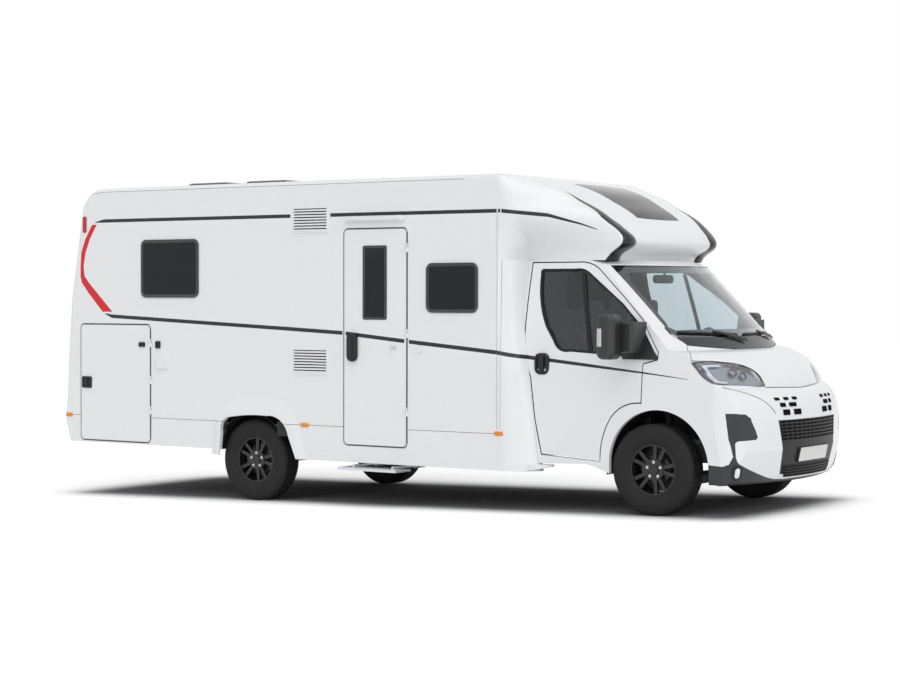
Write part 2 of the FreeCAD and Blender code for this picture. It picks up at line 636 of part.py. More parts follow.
def corner_panel(side):
    """The curved panel that closes the step from the wide living box to the narrower cab."""
    rows = []
    for z, x1, y in CORNER_ROWS:
        x0 = CORNER_SEAM_X
        arc = (x0 + (x1 - x0) * 0.66, y + (HALF - y) * 0.72, x1, y)
        pts = [(x0, HALF), arc, (x1, y - 45), (x1 - 60, y - 45), (x0, HALF - 90)]
        face = bend(pts)
        face.translate(V(0, 0, z))
        rows.append(face.OuterWire)
    toe = prism_z([(CORNER_SEAM_X, HALF), (-1240, HALF - 12, -1100, 1118), (-960, 1080, TOE_FRONT_X, 1010),
                   (TOE_FRONT_X, 975), (CORNER_SEAM_X, 1050)], SKIRT_FRONT_Z, TOE_TOP_Z)
    taper = prism_y([(-1150, SKIRT_FRONT_Z - 20), (-1150, SKIRT_FRONT_Z + 2), (TOE_FRONT_X + 5, TOE_TOP_Z - 20),
                     (TOE_FRONT_X + 5, SKIRT_FRONT_Z - 20)], 900, 1200)
    panel = fuse(Part.makeLoft(rows, True, True), toe.cut(taper))
    return flip(panel) if side < 0 else panel


MIRROR_TIP_Y = 1370.0
MIRROR_FOOT = 14.0
MIRROR_FOOT_SIDE = [(-218, 1672), (-190, 1672), (52, 1372), (48, 1348), (-262, 1348), (-272, 1372)]


# Wheels
def wheel(side, x, track):
    """Tyre and rim about the wheel's own axis; side is -1 on the right."""
    w = TYRE_WIDTH / 2
    y = track / 2
    pts = [(RIM_RADIUS, -RIM_WIDTH / 2), (RIM_RADIUS + 30, -w + 4, 300, -w), (TYRE_RADIUS - 14, -w + 12),
           (TYRE_RADIUS - 4, -w + 22, TYRE_RADIUS, -w + 40), (TYRE_RADIUS, w - 40),
           (TYRE_RADIUS - 4, w - 22, TYRE_RADIUS - 14, w - 12), (300, w), (RIM_RADIUS + 30, w - 4, RIM_RADIUS, RIM_WIDTH / 2)]
    tyre = bend(pts).revolve(V(0, 0, 0), V(0, 1, 0), 360)
    r = RIM_RADIUS - SEAT_GAP
    wr = RIM_WIDTH / 2
    barrel = bend([(r, -wr), (r, wr), (r - 10, wr), (r - 22, 20), (r - 22, -wr + 20), (r - 10, -wr)])
    barrel = barrel.revolve(V(0, 0, 0), V(0, 1, 0), 360)
    hub = Part.makeCylinder(86, 46, V(0, 22, 0), V(0, 1, 0))
    spokes = []
    for k in range(5):
        for off in (-1, 1):
            spoke = prism_z([(60, 30), (r - 12, 42), (r - 12, 70), (60, 62)], -15, 15)
            spoke.rotate(V(0, 0, 0), V(0, 1, 0), k * 72 + off * 13)
            spokes.append(spoke)
    bore = Part.makeCylinder(SPINDLE_RADIUS + RUNNING_GAP, 80, V(0, -10, 0), V(0, 1, 0))
    rim = fuse(barrel, hub, *spokes).cut(bore)
    rim = rim.fuse(Part.makeCylinder(SPINDLE_RADIUS + 12, 10, V(0, 67, 0), V(0, 1, 0)))
    out = []
    for shape in (tyre, rim):
        placed = shape.copy()
        if side < 0:
            placed = flip(placed)
        placed.translate(V(x, side * y, HUB_Z))
        out.append(placed)
    return out


def knuckle(side):
    """Upright that turns on the leaned axis, with the spindle and the steering arm."""
    ball_z = HUB_Z - BALL_DROP
    upright = box(-38, 38, BALL_Y - 32, BALL_Y + 30, ball_z + 22, ball_z + 300)
    upright.rotate(V(0, BALL_Y, ball_z), V(1, 0, 0), KINGPIN_LEAN)
    spindle = tube_y(0, HUB_Z, SPINDLE_RADIUS, BALL_Y - 45, FRONT_TRACK / 2 + 60)
    arm = box(-150, -20, BALL_Y - 62, BALL_Y - 38, HUB_Z - 40, HUB_Z - 16)
    piece = fuse(upright, spindle, arm)
    return flip(piece) if side < 0 else piece


def front_axle():
    """Subframe with its lower arms, and the struts that stand over the knuckles."""
    ball_z = HUB_Z - BALL_DROP
    pieces = [box(-110, 110, -500, 500, 215, 285)]
    for side in (-1, 1):
        arm = box(-38, 38, 420, BALL_Y + 24, ball_z - 30, ball_z)
        ball = tube_z(0, BALL_Y, 20, ball_z - 20, ball_z + 22 - SEAT_GAP)
        ball.rotate(V(0, BALL_Y, ball_z), V(1, 0, 0), KINGPIN_LEAN)
        strut = tube_z(0, BALL_Y, 24, ball_z + 300 + SEAT_GAP, ball_z + 660)
        strut.rotate(V(0, BALL_Y, ball_z), V(1, 0, 0), KINGPIN_LEAN)
        tower = box(-60, 60, 465 + SEAT_GAP, 500, 215, 900)
        shelf = box(-70, 70, 465 + SEAT_GAP, 700, 870, 900)
        for piece in (arm, ball, strut, tower, shelf):
            pieces.append(flip(piece) if side < 0 else piece)
    return fuse(*pieces)


def rear_axle():
    beam = tube_y(-WHEELBASE, HUB_Z, 50, -REAR_TRACK / 2 + 150, REAR_TRACK / 2 - 150)
    pieces = [beam]
    for side in (-1, 1):
        stub = tube_y(-WHEELBASE, HUB_Z, SPINDLE_RADIUS, *sorted((side * (REAR_TRACK / 2 - 160), side * (REAR_TRACK / 2 + 60))))
        pieces.append(stub)
        y0, y1 = sorted((side * (465 + SEAT_GAP), side * 510))
        pieces.append(box(-WHEELBASE - 40, -WHEELBASE + 560, y0, y1, HUB_Z + 20, HUB_Z + 160))
    return fuse(*pieces)


def chassis():
    rails = []
    z0, z1 = FLOOR_Z - FLOOR_THICK - 150, FLOOR_Z - FLOOR_THICK
    for side in (-1, 1):
        y = side * 430
        rails.append(box(REAR_AXLE_X - 1160, 700, y - 35, y + 35, z0, z1))
    for x in (-5000, -4550, -3400, -2700, -2000, -1300, -500):
        rails.append(box(x - 30, x + 30, -430, 430, z0 + 20, z1 - 10))
    rails.append(box(270, 330, -430, 430, z0 + 20, 560))
    rails.append(box(690, 730, -500, 500, z0, z1))
    posts = [tube_z(710, y, 12, z1 - 20, 1400) for y in (-420, 420)]
    under_bonnet = cab_block(CAB_WALL + SEAT_GAP, CAB_REAR_X - 50)
    rails += [post.common(under_bonnet) for post in posts]
    for x in STEP_ARMS:
        rails.append(step_guide(x))
    return fuse(*rails).cut(tow_holes())


# Holes through the rails for a tow bar, level with the ground rather than with the leaning body
TOW_HOLE_X = REAR_AXLE_X - 1060
TOW_HOLE_Z = 560.0
TOW_SPACING = 80.0
TOW_HOLE_RADIUS = 6.5


def tow_holes():
    holes = []
    for dx in (-TOW_SPACING / 2, TOW_SPACING / 2):
        for dz in (-TOW_SPACING / 4, TOW_SPACING / 4):
            holes.append(tube_y(TOW_HOLE_X + dx, TOW_HOLE_Z + dz, TOW_HOLE_RADIUS, -500, 500))
    level = Part.makeCompound(holes)
    level.rotate(V(-WHEELBASE, 0, HUB_Z), V(0, 1, 0), -RAKE)
    return level


def engine():
    return box(200, 640, -330, 330, 560 + SEAT_GAP, 1120)


def dashboard():
    top = prism_y([(-130, DASH_LOW_Z), (150, DASH_LOW_Z), (150, 1240), (330, 1260), (330, 1450), (60, 1430),
                   (-130, 1330)], -1000, 1000).common(cab_block(CAB_WALL + SEAT_GAP, CAB_REAR_X - 50))
    column = Part.makeCylinder(25, 260, V(-40, 380, 1300), V(-0.9, 0, 0.35))
    wheel_ring = Part.makeTorus(195, 15, V(-275, 380, 1392), V(-0.9, 0, 0.35))
    hub = Part.makeCylinder(60, 30, V(-262, 380, 1387), V(-0.9, 0, 0.35))
    spoke = box(-285, -265, 380 - 190, 380 + 190, 1375, 1400)
    return fuse(top, column, wheel_ring, hub, spoke)


def seat(y):
    base = box(-760, -380, y - 200, y + 200, FLOOR_Z, 960)
    cushion = box(-800, -280, y - 250, y + 250, 960, 1090)
    back = prism_y([(-830, 1060), (-720, 1060), (-840, 1640), (-930, 1640)], y - 240, y + 240)
    head = prism_y([(-860, 1600), (-780, 1600), (-800, 1840), (-890, 1840)], y - 130, y + 130)
    return fuse(base, cushion, back, head)


def mirror(side):
    """Mirror head on an upright arm block, which stands on a three-cornered foot over the window's front corner."""
    head = box(-322, -166, 1185, MIRROR_TIP_Y, 1352, 1712)
    head = head.makeFillet(48, head.Edges)
    arm = box(-196, -70, 930, 1215, 1405, 1650)
    arm = arm.makeFillet(26, [edge for edge in arm.Edges if abs(edge.tangentAt(edge.FirstParameter).y) < 0.9])
    foot = cab_block(-MIRROR_FOOT, CAB_REAR_X).common(prism_y(MIRROR_FOOT_SIDE, 860, 1100))
    solids = fuse(head, arm, foot).cut(CAB_OUTER).Solids
    piece = max(solids, key=lambda solid: solid.Volume)
    return flip(piece) if side < 0 else piece


def house_window(rect, side):
    outer = plate(rect, WINDOW_RADIUS, HALF, HALF + 14)
    outer = outer.fuse(plate(grown(rect, -20.5), WINDOW_RADIUS - 20.5, HALF - WALL, HALF + 1))
    return flip(outer) if side < 0 else outer


def entrance_door():
    leaf = plate(ENTRANCE, DOOR_RADIUS - DOOR_GAP, -HALF - 4, -HALF + DOOR_THICK)
    leaf = leaf.cut(plate(grown(ENTRANCE_GLASS, -12), 30, -HALF - 60, -HALF + 60))
    handle = plate((-2905, -2835, 1292, 1519), 30, -HALF - 30, -HALF - 3)
    return fuse(leaf, handle, *hinges(ENTRANCE, True))


def entrance_glass():
    return plate(ENTRANCE_GLASS, 40, -HALF - 12, -HALF - 4).fuse(
        plate(grown(ENTRANCE_GLASS, -12.5), 30, -HALF - 5, -HALF + 20))


def garage_door(side):
    leaf = fuse(plate(GARAGE, DOOR_RADIUS - DOOR_GAP, -HALF - 4, -HALF + DOOR_THICK), *hinges(GARAGE, True))
    return leaf if side < 0 else flip(leaf)


def entry_step():
    """Folding-out step: a tread below two arms that slide in sleeves under the floor."""
    y = -HALF
    tread = box(ENTRANCE[0] + 50, ENTRANCE[1] - 5, y - 160, y + 60, STEP_Z - 42, STEP_Z - 20)
    arms = [box(x - 12, x + 12, y - 60, y + 420, STEP_Z - 20, STEP_Z) for x in STEP_ARMS]
    return fuse(tread, *arms)


def step_guide(x):
    """Sleeve that hangs from the floor and carries one arm of the entry step."""
    y = -HALF
    sleeve = box(x - 24, x + 24, y + 275, y + 400, STEP_Z - 32, STEP_WELL_Z - 30)
    sleeve = sleeve.fuse(box(x - 24, x + 24, y + 390, -460, STEP_Z + 30, STEP_WELL_Z - 30))
    return sleeve.cut(box(x - 12 - RUNNING_GAP, x + 12 + RUNNING_GAP, y + 260, y + 420,
                          STEP_Z - 20 - RUNNING_GAP, STEP_Z + RUNNING_GAP))


def tail_lamps():
    layer = house_block(-18).cut(house_block(0))
    lamp = layer.common(prism_x(rounded(HALF - 300, HALF - 175, 760, 1180, 40), REAR_X - 100, REAR_X + 300))
    return both(lamp)


def build():
    save_body("side_wall_right", side_wall(-1))
    save_body("side_wall_left", side_wall(1))
    save_body("rear_wall", rear_wall())
    save_body("roof", roof())
    save_body("floor", floor_panel())
    save_body("skirts", fuse(rear_apron(), skirt(-1), skirt(1)))
    save_body("tail_lamps", tail_lamps())
    save_body("roof_vents", Part.makeCompound([roof_vent(*v) for v in ROOF_VENTS]))
    save_body("hood", hood())
    save_body("skylight", skylight())
    save_body("corner_panels", Part.makeCompound([corner_panel(-1), corner_panel(1)]))
    for node, shape in cab_pieces().items():
        save_body(node, shape)
    save_body("dashboard", dashboard())
    save_body("cab_seats", Part.makeCompound([seat(-480), seat(480)]))
    save_body("engine", engine())
    save_body("chassis_frame", chassis())
    save_body("mirror_right", mirror(-1))
    save_body("mirror_left", mirror(1))
    windows = [house_window(r, s) for r in (REAR_WINDOW, FRONT_WINDOW) for s in (-1, 1)]
    save_body("house_windows", Part.makeCompound(windows))
    save_body("entrance_door", entrance_door())
    save_body("entrance_window", entrance_glass())
    save_body("garage_door_right", garage_door(-1))
    save_body("garage_door_left", garage_door(1))
    save_body("entry_step", entry_step())
    save("front_axle", front_axle())
    save("rear_axle", rear_axle())
    for side, name in ((-1, "right"), (1, "left")):
        save(f"knuckle_{name}", knuckle(side))
        for end, x, track in (("front", 0, FRONT_TRACK), ("rear", -WHEELBASE, REAR_TRACK)):
            tyre, rim = wheel(side, x, track)
            save(f"tyre_{end}_{name}", tyre)
            save(f"rim_{end}_{name}", rim)


build()
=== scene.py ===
# %% [markdown]
# A low-profile motorhome, dressed over its imported CAD solids. Every cell below makes one piece or one finish. The
# solids already stand in metres in one shared frame: X forward, Y to the left, Z up, ground at zero. The first cell
# loads them.

# %% Load the solids
from functools import reduce
from math import atan2, cos, hypot, pi, radians, sin, sqrt
import bmesh
import bpy
from mathutils import Matrix, Vector


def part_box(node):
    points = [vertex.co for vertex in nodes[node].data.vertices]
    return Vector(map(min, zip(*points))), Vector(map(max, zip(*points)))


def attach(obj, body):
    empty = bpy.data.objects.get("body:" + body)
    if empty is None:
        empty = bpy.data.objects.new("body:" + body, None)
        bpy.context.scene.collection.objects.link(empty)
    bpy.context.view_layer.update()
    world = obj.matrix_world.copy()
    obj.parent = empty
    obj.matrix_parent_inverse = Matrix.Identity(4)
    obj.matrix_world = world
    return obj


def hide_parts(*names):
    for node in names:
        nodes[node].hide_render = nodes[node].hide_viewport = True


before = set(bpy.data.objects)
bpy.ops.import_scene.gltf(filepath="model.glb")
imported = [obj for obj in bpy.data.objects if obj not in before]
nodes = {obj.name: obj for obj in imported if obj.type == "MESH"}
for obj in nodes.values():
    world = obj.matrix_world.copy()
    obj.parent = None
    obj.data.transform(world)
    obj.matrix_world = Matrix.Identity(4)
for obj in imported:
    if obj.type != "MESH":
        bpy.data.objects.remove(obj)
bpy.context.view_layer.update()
print(len(nodes), "solids loaded")

# %% [markdown]
# The body of the real vehicle leans nose down by a little over a degree on its springs. It is far easier to model
# and to paint level, so this cell defines the level frame that the body was drawn in, and the matrix that leans a
# finished piece with the body. The wheelbase and the hub height are those of the solids. HALF is how far each flank
# stands from the middle.

# %% The level body frame and its lean
LEAN_ANGLE = radians(1.386)
HUB = 0.368
WHEELBASE = 4.035
REAR_HUB_X = sum(c[0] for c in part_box("tyre_rear_right")) / 2
FRONT_HUB_X = REAR_HUB_X + WHEELBASE
LEAN = (Matrix.Translation((REAR_HUB_X, 0, HUB)) @ Matrix.Rotation(LEAN_ANGLE, 4, "Y")
        @ Matrix.Translation((WHEELBASE, 0, -HUB)))
HALF = 1.165
SIDES = ((-1, "right"), (1, "left"))
AXLES = (("front", FRONT_HUB_X, 0.905), ("rear", REAR_HUB_X, 0.99))
print("rear hub at x", round(REAR_HUB_X, 3))

# %% [markdown]
# The camera repeats the photograph's view: a long lens of 82 mm, seventeen metres from the front axle, ahead of the
# vehicle and to its right, and 1.56 m above the ground. Its axes are written out as three columns of a matrix,
# because a small roll is easier to state that way than as angles.

# %% Camera
AZIMUTH = radians(34.194)
TILT = radians(0.477)
ROLL = radians(-1.048)
back = Vector((sin(AZIMUTH) * cos(TILT), -cos(AZIMUTH) * cos(TILT), sin(TILT)))
flat_right = Vector((cos(AZIMUTH), sin(AZIMUTH), 0))
flat_up = back.cross(flat_right)
right = flat_right * cos(ROLL) + flat_up * sin(ROLL)
up = flat_up * cos(ROLL) - flat_right * sin(ROLL)
lens = bpy.data.cameras.new("camera")
lens.lens, lens.sensor_width, lens.shift_y, lens.clip_end = 81.56, 36, 0.004, 200
camera = bpy.data.objects.new("camera", lens)
bpy.context.scene.collection.objects.link(camera)
CAMERA_PLACE = (FRONT_HUB_X + 7.83, -15.365, 1.556)
camera.matrix_world = Matrix.Translation(CAMERA_PLACE) @ Matrix((
    (right.x, up.x, back.x, 0), (right.y, up.y, back.y, 0), (right.z, up.z, back.z, 0), (0, 0, 0, 1)))
bpy.context.scene.camera = camera
print("camera at", [round(v, 2) for v in camera.matrix_world.translation])

# %% [markdown]
# Light, floor and finishes are all node trees, and building one by hand takes many words. This small class takes
# them up: it adds a node by its type, and each input is given a value, or is linked when what it gets is another
# node's socket.

# %% A helper for node trees
class Graph:
    """A node tree that is built with few words."""

    def __init__(self, owner, empty=False):
        owner.use_nodes = True
        self.nodes, self.links = owner.node_tree.nodes, owner.node_tree.links
        if empty:
            self.nodes.clear()

    def feed(self, node, inputs):
        """Set or link the inputs of a node, by name or number."""
        for key, value in inputs.items():
            if isinstance(value, bpy.types.NodeSocket):
                self.links.new(value, node.inputs[key])
            else:
                node.inputs[key].default_value = value

    def add(self, kind, inputs=None, **settings):
        """A new node with its settings and its inputs."""
        node = self.nodes.new("ShaderNode" + kind)
        for key, value in settings.items():
            setattr(node, key, value)
        self.feed(node, inputs or {})
        return node

    def math(self, kind, *values, **settings):
        """The outcome of one step of arithmetic on sockets and numbers."""
        return self.add("Math", dict(enumerate(values)), operation=kind, **settings).outputs[0]


print("node helper ready")

# %% [markdown]
# The light is that of a white photo studio. An even white world lights every side. One broad high lamp gives the
# roof edges and shoulders their gloss, one from the camera's side keeps the flank bright, and one from ahead does
# so for the nose. What the camera and the reflections see of the world is plain white, by the Light Path node, so
# the background is white without any more light on the paint.

# %% World and lamps
scene = bpy.context.scene
scene.view_settings.view_transform = "Standard"
world = bpy.data.worlds.new("studio")
scene.world = world
g = Graph(world, empty=True)
path = g.add("LightPath").outputs
seen = g.math("MAXIMUM", path["Is Camera Ray"], path["Is Transmission Ray"])
mirrored = g.math("MAXIMUM", seen, path["Is Glossy Ray"])
ambient = g.add("Background", {"Color": (0.985, 0.99, 1, 1), "Strength": 0.50})
backdrop = g.add("Background", {"Color": (1, 1, 1, 1)})
choose = g.add("MixShader", {0: mirrored, 1: ambient.outputs[0], 2: backdrop.outputs[0]})
g.add("OutputWorld", {0: choose.outputs[0]})


def lamp(name, direction, strength, spread):
    """A distant lamp that shines along a direction; spread is how broad it looks, in degrees."""
    data = bpy.data.lights.new(name, "SUN")
    data.energy, data.angle = strength, radians(spread)
    item = bpy.data.objects.new(name, data)
    scene.collection.objects.link(item)
    item.rotation_euler = Vector(direction).to_track_quat("-Z", "Y").to_euler()


lamp("high lamp", (-0.35, 0.35, -1), 0.80, 50)
lamp("side lamp", (-0.25, 1, -0.45), 0.62, 60)
lamp("front lamp", (-1, 0.35, -0.35), 0.55, 40)
print("three lamps")

# %% [markdown]
# The floor is a wide pale disc, and the lamps alone leave it a light grey. Outside the vehicle's own footprint a faint
# glow, which only the camera sees, lifts it to the white of the backdrop, so that no horizon shows. The shadow under
# the vehicle is partly painted: the floor's own colour is a darker grey inside the footprint, fading to white over
# 0.45 m past its edge, and the glow grows from nothing at that edge over 0.8 m, which paints the shadow's soft fringe.

# %% Floor
FOOTPRINT = (3.3, 0.85, 0)
SHADOW_GREY, FLOOR_WHITE = (0.30, 0.30, 0.31, 1), (0.92, 0.92, 0.92, 1)
bm = bmesh.new()
bmesh.ops.create_circle(bm, cap_ends=True, segments=96, radius=90)
mesh = bpy.data.meshes.new("floor_disc")
bm.to_mesh(mesh)
bm.free()
floor_disc = bpy.data.objects.new("floor_disc", mesh)
scene.collection.objects.link(floor_disc)
floor_disc.location.z = -0.001
floor_paint = bpy.data.materials.new("studio_floor")
g = Graph(floor_paint, empty=True)
away = g.add("VectorMath", {0: g.add("TexCoord").outputs["Object"]}, operation="ABSOLUTE")
past = g.add("VectorMath", {0: away.outputs[0], 1: FOOTPRINT}, operation="SUBTRACT")
clear = g.add("VectorMath", {0: past.outputs[0]}, operation="MAXIMUM")
distance = g.add("VectorMath", {0: clear.outputs[0]}, operation="LENGTH").outputs["Value"]
# painted shadow: the floor's colour is SHADOW_GREY under the footprint and turns to FLOOR_WHITE within 0.45 m of its
# edge
edge = g.add("MapRange", {"Value": distance, "From Max": 0.45}, interpolation_type="SMOOTHSTEP").outputs["Result"]
ground = g.add("Mix", {"Factor": edge, 6: SHADOW_GREY, 7: FLOOR_WHITE}, data_type="RGBA").outputs[2]
matt = g.add("BsdfDiffuse", {"Color": ground})
# the glow's ramp out from the footprint also paints the soft edge of the shadow
rise = g.add("MapRange", {"Value": distance, "From Max": 0.8, "To Max": 0.34}, interpolation_type="SMOOTHSTEP")
path = g.add("LightPath").outputs
watched = g.math("ADD", path["Is Camera Ray"], path["Is Transmission Ray"], use_clamp=True)
reflected = g.math("MAXIMUM", watched, path["Is Glossy Ray"])
lift = g.math("MULTIPLY", rise.outputs["Result"], reflected)
glow = g.add("Emission", {"Color": (1, 1, 1, 1), "Strength": lift})
blend = g.add("AddShader", {0: matt.outputs[0], 1: glow.outputs[0]})
g.add("OutputMaterial", {0: blend.outputs[0]})
mesh.materials.append(floor_paint)
print("floor laid")

# %% [markdown]
# Every finish starts from one helper. It makes a Principled material whose roughness and bump come from a noise in
# object coordinates, because moulded plastic, paint and rubber are never perfectly even. Numbers that are the same
# all over are set on the shader itself. A second helper gives a finish to solids.

# %% A helper for finishes
def finish_of(name, colour, rough, metal=0.0, grain=0.0, size=40.0, uneven=0.06, tint=0.04, coat=0.0, gloss=0.5):
    """A material with a faint change of colour, uneven roughness and a bump of the given depth in metres."""
    material = bpy.data.materials.new(name)
    g = Graph(material)
    where = g.add("TexCoord").outputs["Object"]
    noise = g.add("TexNoise", {"Scale": size, "Detail": 4, "Vector": where}).outputs["Fac"]
    dark = (*(c * (1 - tint) for c in colour), 1)
    light = (*(min(1, c * (1 + tint)) for c in colour), 1)
    shade = g.add("Mix", {"Factor": noise, 6: dark, 7: light}, data_type="RGBA")
    spread = g.add("MapRange", {"Value": noise, "To Min": max(0.01, rough - uneven), "To Max": min(1, rough + uneven)})
    shader = g.nodes["Principled BSDF"]
    g.feed(shader, {"Metallic": metal, "Coat Weight": coat, "Coat Roughness": 0.04, "Specular IOR Level": gloss,
                    "Base Color": shade.outputs[2], "Roughness": spread.outputs["Result"]})
    if grain:
        bump = g.add("Bump", {"Distance": grain, "Strength": 0.6, "Height": noise})
        g.feed(shader, {"Normal": bump.outputs["Normal"]})
    return material


def dress(material, *names):
    """Give solids one finish in place of their own."""
    for name in names:
        nodes[name].data.materials.clear()
        nodes[name].data.materials.append(material)


dark_plastic = finish_of("moulded_black_plastic", (0.014, 0.0145, 0.015), 0.45, grain=0.0004, size=900, gloss=0.3)
# painted shade: this matt black fills slots, grille cells and louvre gaps in place of the dark inside the openings
opening_shade = finish_of("painted_opening_shade", (0.003, 0.003, 0.003), 0.9, size=200, gloss=0.1)
gloss_black = finish_of("gloss_black", (0.009, 0.009, 0.01), 0.12, size=60, coat=0.5)
rubber = finish_of("tyre_rubber", (0.014, 0.014, 0.015), 0.7, grain=0.0004, size=700, gloss=0.25)
alloy_black = finish_of("black_alloy", (0.006, 0.006, 0.007), 0.28, size=80, coat=0.25, gloss=0.4)
steel = finish_of("chassis_steel", (0.03, 0.03, 0.031), 0.6, metal=0.4, grain=0.0006, size=160)
zinc = finish_of("galvanised_steel", (0.32, 0.33, 0.34), 0.5, metal=0.8, grain=0.0004, size=30, tint=0.2)
aluminium = finish_of("ribbed_aluminium", (0.62, 0.63, 0.65), 0.36, metal=0.9, grain=0.0005, size=300)
board = finish_of("floor_board", (0.06, 0.06, 0.062), 0.8, grain=0.001, size=80)
cloth = finish_of("seat_cloth", (0.07, 0.072, 0.078), 0.9, grain=0.001, size=1200, tint=0.25)
dash_skin = finish_of("dashboard_skin", (0.022, 0.023, 0.026), 0.62, grain=0.0006, size=1500)
cast = finish_of("rough_casting", (0.12, 0.12, 0.125), 0.6, metal=0.6, grain=0.0015, size=200)
amber = finish_of("amber_lens", (0.75, 0.24, 0.01), 0.15, size=300, coat=0.3)
red_lens = finish_of("red_lens", (0.45, 0.008, 0.008), 0.15, size=300, coat=0.3)
smoked = finish_of("smoked_acrylic", (0.012, 0.013, 0.015), 0.08, size=20, coat=0.5)
print("plain finishes made")

# %% [markdown]
# The paint carries the vehicle's stripes. On the real one they are vinyl laid over the panels and cut at each door
# gap, so here they are part of the paint's colour: wherever a panel's surface lies inside a stripe's outline, the
# colour changes, and it stays with the panel when a door opens. The outlines are easiest in the level body frame,
# so a Mapping node first undoes the lean. The class below adds that to the node helper, with masks that are 1 where
# a place counts and 0 elsewhere: above or below a value, between two, on outward faces, and within a band about a
# line whose height changes along the vehicle.

# %% Tools for painted bands
PIVOT = LEAN.inverted()


class Paint(Graph):
    """A paint: its material and node tree, level coordinates and masks."""

    def __init__(self, name):
        self.material = bpy.data.materials.new(name)
        super().__init__(self.material)
        self.shader = self.nodes["Principled BSDF"]
        where = self.add("TexCoord").outputs
        level = {"Vector": where["Object"], "Location": PIVOT.translation, "Rotation": (0, -LEAN_ANGLE, 0)}
        self.point = self.add("Mapping", level).outputs["Vector"]
        self.x, self.y, self.z = self.add("SeparateXYZ", {0: self.point}).outputs
        self.flank = self.math("ABSOLUTE", self.y)
        self.normal = self.add("SeparateXYZ", {0: where["Normal"]}).outputs
        self.outward = self.above(self.math("MULTIPLY", self.y, self.normal[1]), -0.02)

    def above(self, socket, low):
        return self.math("GREATER_THAN", socket, low)

    def below(self, socket, high):
        return self.math("LESS_THAN", socket, high)

    def between(self, socket, low, high):
        return self.both(self.above(socket, low), self.below(socket, high))

    def both(self, *masks):
        return reduce(lambda a, b: self.math("MULTIPLY", a, b), masks)

    def either(self, *masks):
        return reduce(lambda a, b: self.math("MAXIMUM", a, b), masks)

    def unless(self, mask):
        return self.math("SUBTRACT", 1, mask)

    def curve(self, socket, points):
        """A broken line through points (input, output), as a sum of clamped ramps."""
        ramps = [self.add("MapRange", {"Value": socket, "From Min": a, "From Max": b, "To Min": 0, "To Max": vb - va})
                 for (a, va), (b, vb) in zip(points, points[1:])]
        total = reduce(lambda a, b: self.math("ADD", a, b), [ramp.outputs[0] for ramp in ramps])
        return self.math("ADD", total, points[0][1])

    def band(self, along, across, centre, half):
        """1 where the across coordinate is inside a band about a centre line; both are broken lines of along."""
        off = self.math("ABSOLUTE", self.math("SUBTRACT", across, self.curve(along, centre)))
        return self.both(self.below(off, self.curve(along, half)), self.between(along, centre[0][0], centre[-1][0]))

    def mix(self, mask, under, over):
        """The colour over where the mask is 1 and the colour under elsewhere."""
        colours = {key: (*v, 1) if isinstance(v, tuple) else v for key, v in ((6, under), (7, over))}
        return self.add("Mix", {"Factor": mask, **colours}, data_type="RGBA").outputs[2]


print("band tools ready")

# %% [markdown]
# Now the gloss white paint itself. Two black stripes run along each flank and on over the cab. Their points are
# along the body from the front axle, in metres. The stripes break at the entrance door's gaps, at a vent and at a
# joint strip, and they stay off the inner faces of the walls. A very fine noise gives the clear coat its orange
# peel, and nothing coarser is added, because a studio shows every blotch.

# %% Gloss white paint with its stripes
WHITE = (0.80, 0.805, 0.82)
BLACK = (0.006, 0.006, 0.007)
RED = (0.62, 0.004, 0.012)
TRIM = (0.020, 0.021, 0.023)
LOWER_STRIPE = [(-5.811, 1.684), (-5.721, 1.659), (-3.565, 1.560), (-2.98, 1.531), (-2.25, 1.462), (-1.37, 1.386),
                (-1.156, 1.347), (-0.088, 1.244), (0.326, 1.199)]
LOWER_HALF = [(-5.811, 0.003), (-5.72, 0.017), (-1.3, 0.017), (-0.6, 0.013), (0.326, 0.002)]
UPPER_STRIPE = [(-5.939, 2.551), (-5.822, 2.563), (-1.347, 2.561), (-0.954, 2.520), (-0.69, 2.444), (-0.571, 2.40)]
UPPER_HALF = [(-5.939, 0.003), (-5.822, 0.016), (-1.0, 0.016), (-0.571, 0.004)]
ENTRANCE_GAPS = ((-2.979, -2.942), (-2.314, -2.268))
LOWER_VENT = (-3.56, -3.115)
CORNER_STRIP = ((-1.380, -1.366), (-1.345, -1.335))


def gloss_paint(name, extra=None):
    """White paint with the flank stripes; extra(paint, colour) may lay more colour over it."""
    p = Paint(name)
    tone = p.add("TexNoise", {"Scale": 300, "Vector": p.point}).outputs["Fac"]
    colour = p.mix(tone, tuple(c * 0.985 for c in WHITE), WHITE)
    right_only = p.below(p.y, 0.0)
    door = p.both(p.either(*(p.between(p.x, *gap) for gap in ENTRANCE_GAPS)), right_only)
    vent = p.both(p.between(p.x, *LOWER_VENT), right_only)
    cuts = p.either(vent, *(p.between(p.x, *gap) for gap in CORNER_STRIP))
    for line, half, inner, gaps in ((LOWER_STRIPE, LOWER_HALF, 0.6, door), (UPPER_STRIPE, UPPER_HALF, 0.9, cuts)):
        side = p.both(p.outward, p.above(p.flank, inner))
        colour = p.mix(p.both(side, p.band(p.x, p.z, line, half), p.unless(gaps)), colour, BLACK)
    if extra:
        colour = extra(p, colour)
    bump = p.add("Bump", {"Distance": 0.0001, "Strength": 0.15, "Height": tone})
    rough = p.add("MapRange", {"Value": tone, "To Min": 0.25, "To Max": 0.30})
    p.feed(p.shader, {"Coat Weight": 0.20, "Coat Roughness": 0.06, "Specular IOR Level": 0.4, "Base Color": colour,
                      "Normal": bump.outputs["Normal"], "Roughness": rough.outputs["Result"]})
    return p.material


print("paint helper ready")

# %% [markdown]
# The house panels carry a red sweep round each rear corner. It is a band again, but this time its place along the
# vehicle changes with height. The wall's fine grey seams are lines of the same kind: one under the roof edge, one
# above the lower panels, and the strip that covers the joint between the house and its front corner. The gap round
# a door is a line too, along a rounded rectangle.

